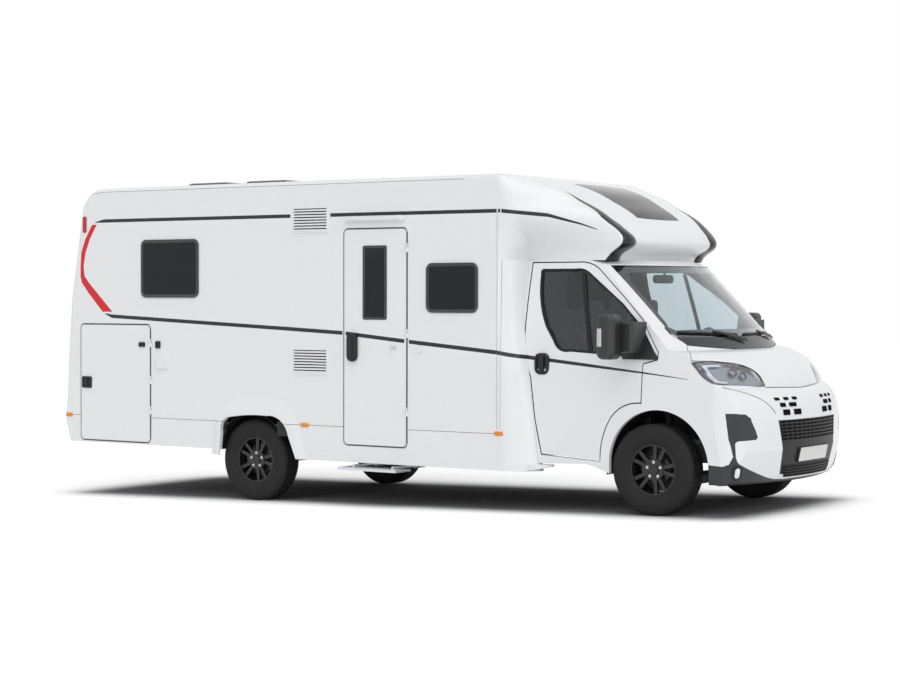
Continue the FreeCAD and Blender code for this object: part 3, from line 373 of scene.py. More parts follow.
# %% House paint and its red sweep
SWEEP = [(1.700, -5.778), (1.877, -5.966), (1.98, -6.068), (2.04, -6.103), (2.138, -6.109), (2.265, -6.091),
         (2.39, -6.038), (2.498, -5.968), (2.53, -5.945)]
SWEEP_HALF = [(1.700, 0.064), (1.877, 0.057), (1.98, 0.046), (2.04, 0.027), (2.138, 0.020), (2.265, 0.029),
              (2.53, 0.031)]
SEAM_GREY = (0.16, 0.16, 0.17)
GAP_GREY = (0.10, 0.10, 0.105)
DOORS = [((-2.9605, -2.2905, 0.5585, 2.4335), -1), ((-6.1215, -5.2315, 0.4785, 1.5805), 0)]
ROOF_SEAM = [(-6.24, 2.60), (-6.20, 2.70), (-6.12, 2.775), (-5.98, 2.822), (-5.80, 2.835), (-1.62, 2.835),
             (-1.50, 2.815), (-1.42, 2.76), (-1.378, 2.66)]
ROOF_SEAM_HALF = [(-6.24, 0.005), (-6.12, 0.003), (-5.98, 0.0022), (-1.60, 0.0022), (-1.42, 0.004), (-1.378, 0.006)]
LOW_SEAM = (0.7085, 0.7135)
WALL_SIDE, ROOF_SIDE = 1.12, 1.05
STRIP_EDGES = ((-1.376, -1.372), (-1.342, -1.339))


def door_gap(p, rect, radius=0.042, half=0.0042):
    """A line along a rounded rectangle on the flank: the distance from its edge is smaller than half its width."""
    x0, x1, z0, z1 = rect
    over = []
    for axis, low, high in ((p.x, x0, x1), (p.z, z0, z1)):
        away = p.math("ABSOLUTE", p.math("SUBTRACT", axis, (low + high) / 2))
        over.append(p.math("SUBTRACT", away, (high - low) / 2 - radius))
    squares = [p.math("MULTIPLY", o, o) for o in [p.math("MAXIMUM", o, 0.0) for o in over]]
    corner = p.math("SQRT", p.math("ADD", *squares))
    within = p.math("MINIMUM", p.math("MAXIMUM", *over), 0.0)
    distance = p.math("SUBTRACT", p.math("ADD", corner, within), radius)
    return p.below(p.math("ABSOLUTE", distance), half)


def house_marks(p, colour):
    """The red sweep and the seams of the house."""
    right_only = p.below(p.y, 0.0)
    side = p.both(p.outward, p.above(p.flank, WALL_SIDE))
    colour = p.mix(p.both(side, p.band(p.z, p.x, SWEEP, SWEEP_HALF)), colour, RED)
    garage, entrance = (p.between(p.x, rect[0], rect[1]) for rect, only in reversed(DOORS))
    on_doors = p.either(garage, p.both(entrance, right_only))
    low_seam = p.both(side, p.below(p.x, -1.37), p.between(p.z, *LOW_SEAM), p.unless(on_doors))
    high_seam = p.both(p.above(p.flank, ROOF_SIDE), p.band(p.x, p.z, ROOF_SEAM, ROOF_SEAM_HALF))
    strip = p.both(p.above(p.z, 0.75), p.either(*(p.between(p.x, *line) for line in STRIP_EDGES)))
    colour = p.mix(p.either(low_seam, high_seam, p.both(side, strip)), colour, SEAM_GREY)
    for rect, only in DOORS:
        masks = (side, door_gap(p, rect), right_only) if only else (side, door_gap(p, rect))
        colour = p.mix(p.both(*masks), colour, GAP_GREY)
    return colour


flank_paint = gloss_paint("flank_paint", extra=house_marks)
dress(flank_paint, "side_wall_right", "side_wall_left", "rear_wall", "roof", "skirts", "corner_panels",
      "entrance_door", "garage_door_right", "garage_door_left")
print("house painted")

# %% [markdown]
# The cab's panels are painted outside only. Inside they are lined with dark plastic, which matters here because you
# see it through the glass. A surface is inside when its normal looks back to the middle of the cab, and that is one
# dot product. The strip between the bonnet and the screen is black plastic too.

# %% Cab paint and its dark lining
CAB_MIDDLE = (-0.55, 0.0, 1.30)
COWL_FRONT = [(0.0, 0.50), (0.404, 0.405), (0.63, 0.315), (0.815, 0.205), (0.885, 0.093)]


def lining(p, colour):
    """Dark lining on faces that look inwards, and the black cowl in front of the screen."""
    parts = [p.math("MULTIPLY", p.math("SUBTRACT", axis, middle), n)
             for axis, middle, n in zip((p.x, p.y, p.z), CAB_MIDDLE, p.normal)]
    outward = p.math("ADD", p.math("ADD", parts[0], parts[1]), parts[2])
    colour = p.mix(p.below(outward, 0.0), colour, TRIM)
    front = p.curve(p.flank, COWL_FRONT)
    cowl = p.both(p.below(p.flank, 0.885), p.below(p.x, front), p.above(p.x, 0.04), p.between(p.z, 1.38, 1.62))
    return p.mix(cowl, colour, TRIM)


dress(gloss_paint("cab_paint", extra=lining), "cab_shell", "cab_door_right", "cab_door_left")
dress(gloss_paint("bonnet_paint"), "bonnet")
print("cab painted")

# %% [markdown]
# The moulded hood over the cab has two broad gloss black bands. Each starts in a point beside the skylight, runs
# down the hood's face and ends at its lower lip. On the face, height is the coordinate that tells the places along
# a band apart, so the mask says between which two distances from the middle the band lies at each height. The
# bumper's dark mouldings are drawn the same way, seen from the side, and the seam beside the nose panel is one more
# band.

# %% Hood bands and the bumper's dark corners
BAND_INNER = [(2.15, 0.661), (2.30, 0.661), (2.35, 0.669), (2.40, 0.704), (2.45, 0.727), (2.50, 0.766), (2.55, 0.779),
              (2.60, 0.796), (2.65, 0.825), (2.74, 0.858)]
BAND_OUTER = [(2.15, 0.848), (2.20, 0.838), (2.35, 0.836), (2.40, 0.850), (2.45, 0.874), (2.50, 0.886), (2.55, 0.871),
              (2.60, 0.866), (2.74, 0.858)]
PATCH_BACK = [(0.540, 0.671), (0.601, 0.698), (0.679, 0.683), (0.734, 0.667), (0.938, 0.643)]
PATCH_FRONT = [(0.557, 0.728), (0.592, 0.717), (0.703, 0.711), (0.721, 0.727), (0.7255, 0.777), (0.729, 0.812),
               (0.749, 0.817), (0.810, 0.807), (0.898, 0.787), (0.931, 0.763), (0.938, 0.709)]
SKIRT_TOP = [(0.50, 0.53), (0.624, 0.522), (0.671, 0.540), (0.728, 0.557), (0.755, 0.515), (0.794, 0.459),
             (0.833, 0.403), (0.854, 0.395), (0.93, 0.40)]
NOSE_SEAM = [(0.560, 0.925), (0.569, 0.940), (0.622, 0.997), (0.689, 1.046), (0.777, 1.087), (0.869, 1.120),
             (0.985, 1.150)]
NOSE_SEAM_HALF = [(0.560, 0.007), (0.622, 0.005), (0.985, 0.0028)]


def hood_bands(p, colour):
    """The two black bands, each between an inner and an outer line on the hood's face."""
    inner = p.above(p.flank, p.curve(p.z, BAND_INNER))
    outer = p.below(p.flank, p.curve(p.z, BAND_OUTER))
    return p.mix(p.both(inner, outer, p.between(p.z, 2.145, 2.735)), colour, BLACK)


def dark_corners(p, colour):
    """The dark patch behind each front corner with the neck under it, and the dark strip along the lower edge."""
    patch = p.both(p.above(p.x, p.curve(p.z, PATCH_BACK)), p.below(p.x, p.curve(p.z, PATCH_FRONT)),
                   p.between(p.z, 0.53, 0.938), p.above(p.flank, 0.55))
    strip = p.below(p.z, p.curve(p.x, SKIRT_TOP))
    seam = p.both(p.band(p.flank, p.z, NOSE_SEAM, NOSE_SEAM_HALF), p.above(p.x, 0.5))
    return p.mix(seam, p.mix(p.either(patch, strip), colour, TRIM), GAP_GREY)


dress(gloss_paint("hood_paint", extra=hood_bands), "hood")
dress(gloss_paint("bumper_paint", extra=dark_corners), "front_bumper")
print("hood and bumper painted")

# %% [markdown]
# The cab's glass is clear with a cool tint, and you look through it at the seats and the dashboard. The house
# windows are double acrylic panes, so dark that they read as black mirrors. Clear glass takes full transmission and
# thin walls of glass need no other trick.

# %% Glass and the plain nodes
def clear_glass(name, colour):
    """Glass that lets all light through, with a tint."""
    material = finish_of(name, colour, 0.02, uneven=0.01, tint=0.02, size=3)
    shader = material.node_tree.nodes["Principled BSDF"]
    shader.inputs["Transmission Weight"].default_value = 1.0
    shader.inputs["IOR"].default_value = 1.45
    return material


screen_glass = clear_glass("screen_glass", (0.80, 0.88, 0.92))
door_glass = clear_glass("door_glass", (0.60, 0.66, 0.68))
lens_glass = clear_glass("lamp_lens", (0.9, 0.93, 0.96))
tinted = finish_of("tinted_acrylic", (0.007, 0.008, 0.009), 0.08, size=4, gloss=0.25)
PLAIN = {"floor": board, "dashboard": dash_skin, "cab_seats": cloth, "engine": cast,
         "chassis_frame": zinc, "front_axle": steel, "rear_axle": steel, "knuckle_right": cast, "knuckle_left": cast,
         "entry_step": aluminium, "tail_lamps": red_lens, "roof_vents": smoked, "skylight": tinted,
         "windscreen": screen_glass, "cab_window_right": door_glass, "cab_window_left": door_glass,
         "mirror_right": dark_plastic, "mirror_left": dark_plastic, "front_grille": dark_plastic,
         "headlamps": lens_glass, "house_windows": tinted, "entrance_window": tinted}
for end, _, _ in AXLES:
    for _, side in SIDES:
        PLAIN[f"tyre_{end}_{side}"] = rubber
        PLAIN[f"rim_{end}_{side}"] = alloy_black
for name, material in PLAIN.items():
    dress(material, name)
print(len(PLAIN), "plain nodes finished")

# %% [markdown]
# New pieces are all finished the same way, so one helper does it: it turns a bmesh into an object, leans it with
# the body where asked, gives it its finishes, shades it smooth by angle and makes it ride on its body.

# %% A helper that finishes a piece
def piece(bm, name, body, materials, stands_for=(), lean=True, smooth=35):
    """Turn a bmesh into a finished piece at its place in the shared frame."""
    if lean:
        bmesh.ops.transform(bm, matrix=LEAN, verts=bm.verts)
    bmesh.ops.remove_doubles(bm, verts=bm.verts, dist=0.00002)
    bmesh.ops.recalc_face_normals(bm, faces=bm.faces)
    for face in bm.faces:
        face.smooth = True
    for edge in bm.edges:
        if len(edge.link_faces) == 2 and edge.calc_face_angle(0) > radians(smooth):
            edge.smooth = False
    data = bpy.data.meshes.new(name)
    bm.to_mesh(data)
    bm.free()
    for material in materials:
        data.materials.append(material)
    item = bpy.data.objects.new(name, data)
    scene.collection.objects.link(item)
    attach(item, body)
    if stands_for:
        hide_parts(*stands_for)
    print(name, len(data.polygons), "faces")
    return item


# %% [markdown]
# Windows, plates, lamps and housings are all boxes with round corners and a soft edge. The first helper makes one:
# a cube, its four long edges bevelled with a large radius, and then the rims of its two end faces bevelled with a
# small one. It works along any axis, so the same few lines serve a window pane and a roof hatch. The others place a
# slab on a flank, inset its outer face step by step, and make a round rod.

# %% Helpers for rounded slabs
AXES = {"X": 0, "Y": 1, "Z": 2}
ALONG_Y = Matrix.Rotation(pi / 2, 4, "X")


def faces_of(verts):
    return list({f for v in verts for f in v.link_faces})


def finish_faces(faces, index):
    """Give faces one of their piece's finishes, by its number."""
    for face in faces:
        face.material_index = index


def slab(bm, low, high, along="Y", corner=0.0, edge=0.0, steps=5, index=0):
    """A rounded box between two corners; its corner edges run along an axis, and both its rims get a small bevel."""
    low, high = Vector(low), Vector(high)
    size = Vector(b - a for a, b in zip(low, high))
    place = Matrix.Translation((low + high) / 2) @ Matrix.Diagonal((*size, 1))
    made = bmesh.ops.create_cube(bm, size=1, matrix=place)["verts"]
    k = AXES[along]
    for radius, segments, wanted in ((corner, steps, lambda span: span > size[k] * 0.9),
                                     (edge, 2, lambda span: span < 1e-6)):
        if radius:
            edges = [e for e in {e for v in made for e in v.link_edges}
                     if wanted(abs(e.verts[0].co[k] - e.verts[1].co[k]))]
            done = bmesh.ops.bevel(bm, geom=edges, offset=radius, segments=segments, profile=0.5, affect="EDGES",
                                   material=-1)
            made = {v for v in made if v.is_valid} | set(done["verts"])
    faces = faces_of(made)
    finish_faces(faces, index)
    return faces


def flank_slab(bm, side, rect, near, far, corner, edge=0.0, steps=5, index=0):
    """A slab on one flank over a rectangle x0, x1, z0, z1, between two distances from the middle plane."""
    x0, x1, z0, z1 = rect
    a, b = sorted((side * near, side * far))
    return slab(bm, (x0, a, z0), (x1, b, z1), "Y", corner, edge, steps, index)


def facing(faces, direction):
    """The largest face that looks along a direction."""
    direction = Vector(direction)
    for face in faces:
        face.normal_update()
    seen = [f for f in faces if f.normal.dot(direction) > 0.99]
    return max(seen, key=lambda f: f.calc_area())


def inset(bm, faces, direction, *steps):
    """Inset the face that looks along a direction; each step is a width and how far the face then moves out."""
    cap = facing(faces, direction)
    for thickness, depth in steps:
        bmesh.ops.inset_region(bm, faces=[cap], thickness=thickness, depth=depth)
    return cap


def rod(bm, place, length, r0, r1=None, segments=24, index=0):
    """A round rod along the Z axis of a placing matrix, r0 wide at its foot and r1 at its head."""
    made = bmesh.ops.create_cone(bm, cap_ends=True, segments=segments, radius1=r0, radius2=r1 or r0, depth=length,
                                 matrix=place)
    faces = faces_of(made["verts"])
    finish_faces(faces, index)
    return faces


print("slab helpers ready")

# %% [markdown]
# A house window is a dark double pane of acrylic, hinged at the top and standing a finger's breadth proud of the
# wall, with a black rim. The rim is the slab's own edge, its outer face is inset, and the pane inside the inset is
# pushed back a little so that the rim catches the light. A second slab stands for the part in the wall.

# %% House windows
LEVEL_WINDOWS = [(-5.342, -4.632, 1.835, 2.376), (-2.087, -1.561, 1.712, 2.134)]
STEP_IN = 0.021


def pane(bm, rect, side, proud, rim, depth, corner):
    """One framed pane on a flank over a rectangle x0, x1, z0, z1."""
    faces = flank_slab(bm, side, rect, HALF - 0.001, HALF + proud, corner, 0.004, 6)
    inset(bm, faces, (0, side, 0), (rim, 0), (0.003, -depth)).material_index = 1


bm = bmesh.new()
for x0, x1, z0, z1 in LEVEL_WINDOWS:
    for side, _ in SIDES:
        pane(bm, (x0, x1, z0, z1), side, 0.013, 0.022, 0.003, 0.06)
        in_wall = (x0 + STEP_IN, x1 - STEP_IN, z0 + STEP_IN, z1 - STEP_IN)
        flank_slab(bm, side, in_wall, HALF - 0.034, HALF, 0.04, 0, 4, 1)
piece(bm, "house_window_panes", "body", [gloss_black, tinted], ["house_windows"])

# %% [markdown]
# The entrance door has one tall narrow pane in a black frame. Its handle is an oval plate with an upright grip bar,
# and a round lock sits at the foot of the plate. All of it rides on the door, so it swings with it.

# %% Entrance door pane and handle
bm = bmesh.new()
pane(bm, (-2.756, -2.498, 1.648, 2.290), -1, 0.010, 0.016, 0.002, 0.02)
slab(bm, (-2.743, -HALF + 0.02, 1.661), (-2.513, -HALF + 0.001, 2.277), "Y", 0.02, 0, 3, 1)
piece(bm, "entrance_pane", "entrance_door", [gloss_black, tinted], ["entrance_window"])
bm = bmesh.new()
flank_slab(bm, -1, (-2.914, -2.808, 1.284, 1.534), HALF + 0.002, HALF + 0.036, 0.050, 0.008, 8)
flank_slab(bm, -1, (-2.884, -2.842, 1.350, 1.505), HALF + 0.030, HALF + 0.043, 0.020, 0.006)
rod(bm, Matrix.Translation((-2.861, -HALF - 0.034, 1.320)) @ ALONG_Y, 0.012, 0.013)
piece(bm, "entrance_handle", "entrance_door", [dark_plastic])

# %% [markdown]
# A tyre is one profile turned about the hub. The profile holds the tread's three round grooves and the sidewall's
# raised ring. After the spin, every fourth block of the shoulder bands and of the ribs is inset and sunk, which
# gives the lateral cuts of a van tyre with only a few faces each.

# %% Tyres
TYRE_R, TYRE_HALF, SEAT_R, RIM_HALF = 0.3675, 0.1115, 0.2035, 0.0825


def tyre(name, body, node, x, y):
    """A tyre on its hub, in place of the plain solid of a node."""
    r, h = TYRE_R, TYRE_HALF
    half_profile = [(SEAT_R, RIM_HALF), (SEAT_R + 0.012, RIM_HALF + 0.009), (SEAT_R + 0.028, h - 0.010),
                    (SEAT_R + 0.052, h - 0.003), (SEAT_R + 0.056, h - 0.0005), (SEAT_R + 0.062, h - 0.0005),
                    (SEAT_R + 0.066, h - 0.001), (0.300, h - 0.0005), (0.330, h - 0.004), (0.350, h - 0.014),
                    (r - 0.006, h - 0.024), (r, h - 0.034), (r, 0.058), (r - 0.008, 0.056), (r - 0.008, 0.050),
                    (r, 0.048), (r, 0.008), (r - 0.008, 0.006)]
    points = half_profile + [(a, -b) for a, b in reversed(half_profile)]
    bm = bmesh.new()
    line = [bm.verts.new((a, b, 0)) for a, b in points]
    edges = [bm.edges.new((p, q)) for p, q in zip(line, line[1:] + line[:1])]
    bmesh.ops.spin(bm, geom=line + edges, cent=(0, 0, 0), axis=(0, 1, 0), dvec=(0, 0, 0), angle=2 * pi, steps=96,
                   use_merge=True, use_duplicate=False)
    bm.normal_update()
    for inner, outer, first in ((0.058, h - 0.034, 0), (0.008, 0.048, 2)):
        for sign in (-1, 1):
            band = []
            for face in bm.faces:
                c = face.calc_center_median()
                if inner < sign * c.y < outer and hypot(c.x, c.z) > r - 0.003:
                    band.append((atan2(c.z, c.x), face))
            cut = [face for _, face in sorted(band, key=lambda entry: entry[0])][first::4]
            bmesh.ops.inset_individual(bm, faces=cut, thickness=0.0035, depth=0)
            bmesh.ops.inset_individual(bm, faces=cut, thickness=0.002, depth=-0.007)
    bmesh.ops.translate(bm, vec=(x, y, HUB), verts=bm.verts)
    piece(bm, name, body, [rubber], [node], lean=False, smooth=28)


for end, hub_x, hub_y in AXLES:
    for side, word in SIDES:
        place = f"{end}_{word}"
        tyre(f"tread_tyre_{place}", f"wheel_{place}", f"tyre_{place}", hub_x, side * hub_y)

# %% [markdown]
# The front of the cab is one curved moulding, so anything let into it has to lie on its surface. A helper finds
# that surface: it drops a ray along X onto the solids from ahead of the vehicle and gives back the level x where it
# lands. A flat piece drawn in the level (y, z) plane is then wrapped onto the nose point by point.

# %% A helper that wraps a piece onto the nose
LEVEL_TURN = PIVOT.to_3x3()
NOSE = ["front_bumper", "front_grille", "bonnet"]


def land(names, start, direction):
    """Where a ray in the level frame first meets some solids: the level point and its normal, or None."""
    origin = LEAN @ Vector(start)
    way = (LEAN @ (Vector(start) + Vector(direction)) - origin).normalized()
    best = None
    for name in names:
        hit, where, normal, _ = nodes[name].ray_cast(origin, way)
        if hit and (best is None or (where - origin).length < best[0]):
            best = ((where - origin).length, PIVOT @ where, (LEVEL_TURN @ normal).normalized())
    return best and best[1:]


def nose_x(y, z):
    """The level x of the nose at a sideways and an upright place, or None beside it."""
    found = land(NOSE, (3, y, z), (-1, 0, 0))
    return found and found[0].x


def wrap(bm, rise=0.0):
    """Move vertices drawn at x near zero onto the nose; their own x stays as height over its surface."""
    known, last = {}, 0.85
    for v in bm.verts:
        key = (round(v.co.y, 4), round(v.co.z, 4))
        if key not in known:
            found = nose_x(*key)
            known[key] = last if found is None else found
        last = known[key]
        v.co.x += last + rise


print("nose wrap ready")

# %% [markdown]
# A pane's black edge is a strip that follows the pane's own outline, whatever that outline is. One helper finds the
# outline by casting: from the pane's middle it feels outwards in every direction for the last ray that still meets
# the glass. A second loop a band's width further in is bridged to the first, the strip is laid on the curved glass,
# and it gets its thickness last. The small helpers before it turn faces outwards, lay a closed line on a skin, and
# put a grid in place as a thick sheet.

# %% Helpers for strips along a pane's edge
def look(bm, faces, outward):
    """Turn a sheet of faces so that it looks outward."""
    bmesh.ops.recalc_face_normals(bm, faces=faces)
    if sum(f.normal.dot(outward) * f.calc_area() for f in faces) < 0:
        bmesh.ops.reverse_faces(bm, faces=faces)


def ring(bm, probe, line, rise):
    """A closed line of edges where a probe lands, lifted off the skin."""
    verts = []
    for p in line:
        found = probe(p)
        verts.append(bm.verts.new(found[0] + found[1] * rise if found else verts[-1].co))
    return [bm.edges.new((v, w)) for v, w in zip(verts, verts[1:] + verts[:1])]


def sheet(bm, across, along, place, outward, thick, index=0):
    """A thick sheet from a grid whose points are put in place by their two shares, from 0 to 1."""
    made = bmesh.ops.create_grid(bm, x_segments=across, y_segments=along, size=0.5)["verts"]
    for v in made:
        v.co = place(v.co.x + 0.5, v.co.y + 0.5)
    faces = faces_of(made)
    look(bm, faces, Vector(outward))
    finish_faces(faces, index)
    bmesh.ops.solidify(bm, geom=faces, thickness=thick)


def edge_loops(meets, middle, bands, steps=96):
    """Two closed lines in a plane: the test's outline, and one that is set in by the side, low and high bands."""
    outline = []
    for k in range(steps):
        turn = 2 * pi * k / steps
        way = Vector((cos(turn), sin(turn)))
        near, far = 0.0, 1.6
        for _ in range(13):
            half = (near + far) / 2
            near, far = (half, far) if meets(middle + way * half) else (near, half)
        outline.append(middle + way * near * 0.997)
    side, low, high = bands
    inner = []
    for k, point in enumerate(outline):
        along = outline[(k + 2) % steps] - outline[k - 2]
        into = Vector((-along.y, along.x)).normalized()
        width = side * into.x ** 2 + (high if into.y < 0 else low) * into.y ** 2
        inner.append(point + into * width)
    return outline, inner


def edge_strip(bm, node, view, middle, bands, rise, thick):
    """Lay an edge strip on a pane that is seen along X (view 0) or from one flank (view -1 or 1)."""
    def probe(p):
        if view == 0:
            return land([node], (3, p.x, p.y), (-1, 0, 0))
        return land([node], (p.x, view * 3, p.y), (0, -view, 0))

    loops = [ring(bm, probe, line, rise) for line in edge_loops(probe, Vector(middle), bands)]
    made = bmesh.ops.bridge_loops(bm, edges=loops[0] + loops[1])["faces"]
    look(bm, made, Vector((1, 0, 0.5)) if view == 0 else Vector((0, view, 0)))
    bmesh.ops.solidify(bm, geom=made, thickness=thick)


print("edge strip helper ready")

# %% [markdown]
# The windscreen is glued in, and a black printed band hides the glue. The band sits behind the glass, so the glass
# still shines over it. It is broad along the top, where it shades the driver, and along the foot.

# %% Windscreen band
bm = bmesh.new()
edge_strip(bm, "windscreen", 0, (0.0, 1.80), (0.045, 0.065, 0.055), -0.0075, 0.001)
piece(bm, "screen_band", "body", [gloss_black])

# %% [markdown]
# Each cab door window has a black rubber frame that fills the step between the sunken glass and the door's skin, and
# an upright divider behind the mirror. The divider is one face stretched between four measured corners, cut across a
# few times so that it can bend with the glass.

# %% Door window frames and dividers
for side, word in SIDES:
    bm = bmesh.new()
    glass = f"cab_window_{word}"
    edge_strip(bm, glass, side, (-0.62, 1.70), (0.020, 0.020, 0.020), 0.0115, 0.011)

    def divider(across, up):
        """A place on the divider, over the glass."""
        x0, x1 = -0.592 - 0.128 * up, -0.555 - 0.132 * up
        found = land([glass], (x0 + (x1 - x0) * across, side * 3, 1.405 + 0.645 * up), (0, -side, 0))
        return found[0] + Vector((0, side * 0.009, 0))

    sheet(bm, 1, 8, divider, (0, side, 0), 0.009)
    piece(bm, f"door_window_frame_{word}", f"cab_door_{word}", [rubber])

# %% [markdown]
# The cab door's handle is an upright grip in an oval shell, with a round lock in its foot. It is a rounded slab whose
# face is set in twice, which leaves the finger hollow round a raised bar.

# %% Cab door handles
for side, word in SIDES:
    bm = bmesh.new()
    skin = abs(land([f"cab_door_{word}"], (-1.02, side * 3, 1.30), (0, -side, 0))[0].y)
    shell = flank_slab(bm, side, (-1.092, -0.955, 1.208, 1.385), skin - 0.01, skin + 0.016, 0.05, 0.006, 6)
    inset(bm, shell, (0, side, 0), (0.016, 0), (0.006, -0.012))
    flank_slab(bm, side, (-1.048, -1.000, 1.222, 1.372), skin - 0.002, skin + 0.022, 0.018, 0.006)
    rod(bm, Matrix.Translation((-1.024, side * (skin + 0.022), 1.245)) @ ALONG_Y, 0.006, 0.011)
    piece(bm, f"cab_handle_{word}", f"cab_door_{word}", [dark_plastic])

# %% [markdown]
# The mirrors keep their CAD solids. They gain the mirror glass, in two panes one above the other on the rear of the
# head. The clear turn lamp on the outer face lies flush, so it is only a paler colour within a small box of the
# head's own plastic.

# %% Mirror glass and turn lamps
mirror_shine = finish_of("mirror_glass", (0.75, 0.78, 0.80), 0.03, metal=1.0, uneven=0.01, size=5)


def turn_lamp(p, colour):
    """The pale lamp and the darker slit in it."""
    spot = p.both(p.between(p.x, -0.318, -0.262), p.between(p.z, 1.455, 1.598), p.above(p.flank, 1.30))
    slit = p.both(spot, p.between(p.x, -0.286, -0.281))
    return p.mix(slit, p.mix(spot, colour, (0.62, 0.63, 0.62)), (0.2, 0.2, 0.2))


p = Paint("mirror_shell")
grain = p.add("TexNoise", {"Scale": 900, "Vector": p.point}).outputs["Fac"]
plastic = p.mix(grain, (0.013, 0.0135, 0.014), (0.020, 0.021, 0.022))
spread = p.add("MapRange", {"Value": grain, "To Min": 0.30, "To Max": 0.42})
p.feed(p.shader, {"Base Color": turn_lamp(p, plastic), "Roughness": spread.outputs["Result"]})
for side, word in SIDES:
    dress(p.material, f"mirror_{word}")
    bm = bmesh.new()
    near, far = sorted((side * 1.225, side * 1.335))
    for z0, z1 in ((1.500, 1.675), (1.390, 1.488)):
        faces = slab(bm, (-0.327, near, z0), (-0.318, far, z1), "X", 0.018, 0.002)
        inset(bm, faces, (-1, 0, 0), (0.005, 0)).material_index = 1
    piece(bm, f"mirror_glass_{word}", f"cab_door_{word}", [dark_plastic, mirror_shine])

# %% [markdown]
# Between the headlamps the white nose panel has three rows of small square slots each side of a bare middle. They
# get wider and taller row by row towards the grille. Each is a matt black rounded tile with a raised thin edge,
# wrapped on the nose; its black is painted shade that stands for the dark inside the slot.

# %% Slots in the nose panel
SLOT_ROWS = [(1.040, 0.022, [(0.505, 0.060), (0.385, 0.062), (0.262, 0.066)]),
             (0.992, 0.032, [(0.455, 0.068), (0.318, 0.100)]),
             (0.932, 0.044, [(0.420, 0.088), (0.262, 0.104)])]
bm = bmesh.new()
for z, height, tiles in SLOT_ROWS:
    for y, width in tiles:
        for side, _ in SIDES:
            low = (-0.004, side * y - width / 2, z - height / 2)
            high = (0.006, side * y + width / 2, z + height / 2)
            inset(bm, slab(bm, low, high, "X", 0.006, 0, 3), (1, 0, 0), (0.003, 0), (0.001, -0.003))
wrap(bm)
piece(bm, "nose_slots", "body", [opening_shade])

# %% [markdown]
# The grille is a black recess full of thin bars: five lines across and thirteen uprights. It starts as one grid
# laid on the nose; each cell of the grid is inset and sunk, and what is left between the cells are the bars. The sunk
# cells are matt black, painted shade for the dark behind the bars. The lower air intake further on is made by the
# same function.

# %% Grille
def barred(name, columns, rows, middle, tall, wide, taper, bar, rise=0.0):
    """A black recess full of bars on the nose, about a middle height, its sunk cells painted shade; taper is how much
    wider its top is.
    """
    bm = bmesh.new()
    for v in bmesh.ops.create_grid(bm, x_segments=columns, y_segments=rows, size=0.5)["verts"]:
        across, up = v.co.x, v.co.y
        v.co = Vector((0.004, across * (wide + taper * up), middle + tall * up))
    bm.normal_update()
    cells = list(bm.faces)
    bmesh.ops.inset_individual(bm, faces=cells, thickness=bar, depth=0)
    bmesh.ops.inset_individual(bm, faces=cells, thickness=0.002, depth=-0.003 if cells[0].normal.x > 0 else 0.003)
    finish_faces(cells, 1)
    wrap(bm, rise)
    piece(bm, name, "body", [dark_plastic, opening_shade])


barred("grille_bars", 14, 6, 0.790, 0.165, 1.01032, 0.0396, 0.006)

# %% [markdown]
# Below the grille a dark panel carries the number plate, left blank here. The plate is a thin pressed sheet with a
# raised rim, in a slim holder.

# %% Plate and holder
plate_white = finish_of("plate_white", (0.72, 0.72, 0.70), 0.35, size=90)
PLATE_LOW, PLATE_HIGH = 0.530, 0.640
low_x, high_x = nose_x(0.0, PLATE_LOW), nose_x(0.0, PLATE_HIGH)
lean = (high_x - low_x) / (PLATE_HIGH - PLATE_LOW)
bm = bmesh.new()
slab(bm, (-0.020, -0.268, PLATE_LOW - 0.008), (0.003, 0.268, PLATE_HIGH + 0.008), "X", 0.008, 0.002, 3)
faces = slab(bm, (0.002, -0.26, PLATE_LOW), (0.005, 0.26, PLATE_HIGH), "X", 0.010, 0, 4, 1)
inset(bm, faces, (1, 0, 0), (0.004, 0.0015), (0.002, -0.0015))
for v in bm.verts:
    v.co.x += low_x + lean * (v.co.z - PLATE_LOW)
print("The plate leans", round(lean, 3), "metres forward for each metre of height")
piece(bm, "front_plate", "body", [dark_plastic, plate_white])

# %% [markdown]
# A headlamp is a bowl behind a clear lens. Both follow the body's curve and share one outline, so both are made from
# the same loops: the outline found on the CAD lamp, and the same line shrunk towards its middle. The bowl's loops go
# deeper step by step; the lens loops stay on the skin. A bright strip for the running light lies along the rear edge,
# and two round reflectors sit in the bowl. The lamps are seen at an angle, so the loops live in a plane turned by 45
# degrees.

# %% Headlamps
reflector = finish_of("lamp_reflector", (0.36, 0.375, 0.40), 0.25, metal=0.7, size=60)
light_bar = finish_of("running_light_bar", (0.80, 0.83, 0.86), 0.25, size=120, coat=0.3)
RIM_POINTS = 80
LAMP_MIDDLE = Vector((-0.150, 1.245))
REFLECTORS = ((-0.115, 1.262, 0.034), (-0.020, 1.232, 0.030))


def lamp_view(side):
    """For one side: a probe on the CAD lamp from a point (s, z) of the turned plane."""
    slant = sqrt(0.5)
    outward, along = Vector((slant, side * slant, 0)), Vector((slant, -side * slant, 0))

    def probe(p):
        start = along * p.x + outward * 2 + Vector((0, 0, p.y))
        return land(["headlamps"], start, -outward)
    return probe, outward


def shrunk(line, share):
    """A closed line drawn in towards the lamp's middle."""
    return [LAMP_MIDDLE + (p - LAMP_MIDDLE) * share for p in line]


def laid_rings(bm, probe, outward, outline, steps):
    """Rings of the outline, each with its share of the size and its height over the skin, bridged and capped."""
    loops = [ring(bm, probe, shrunk(outline, share), rise) for share, rise in steps]
    made = []
    for a, b in zip(loops, loops[1:]):
        made += bmesh.ops.bridge_loops(bm, edges=a + b)["faces"]
    made += bmesh.ops.contextual_create(bm, geom=loops[-1])["faces"]
    look(bm, made, outward)
    return made


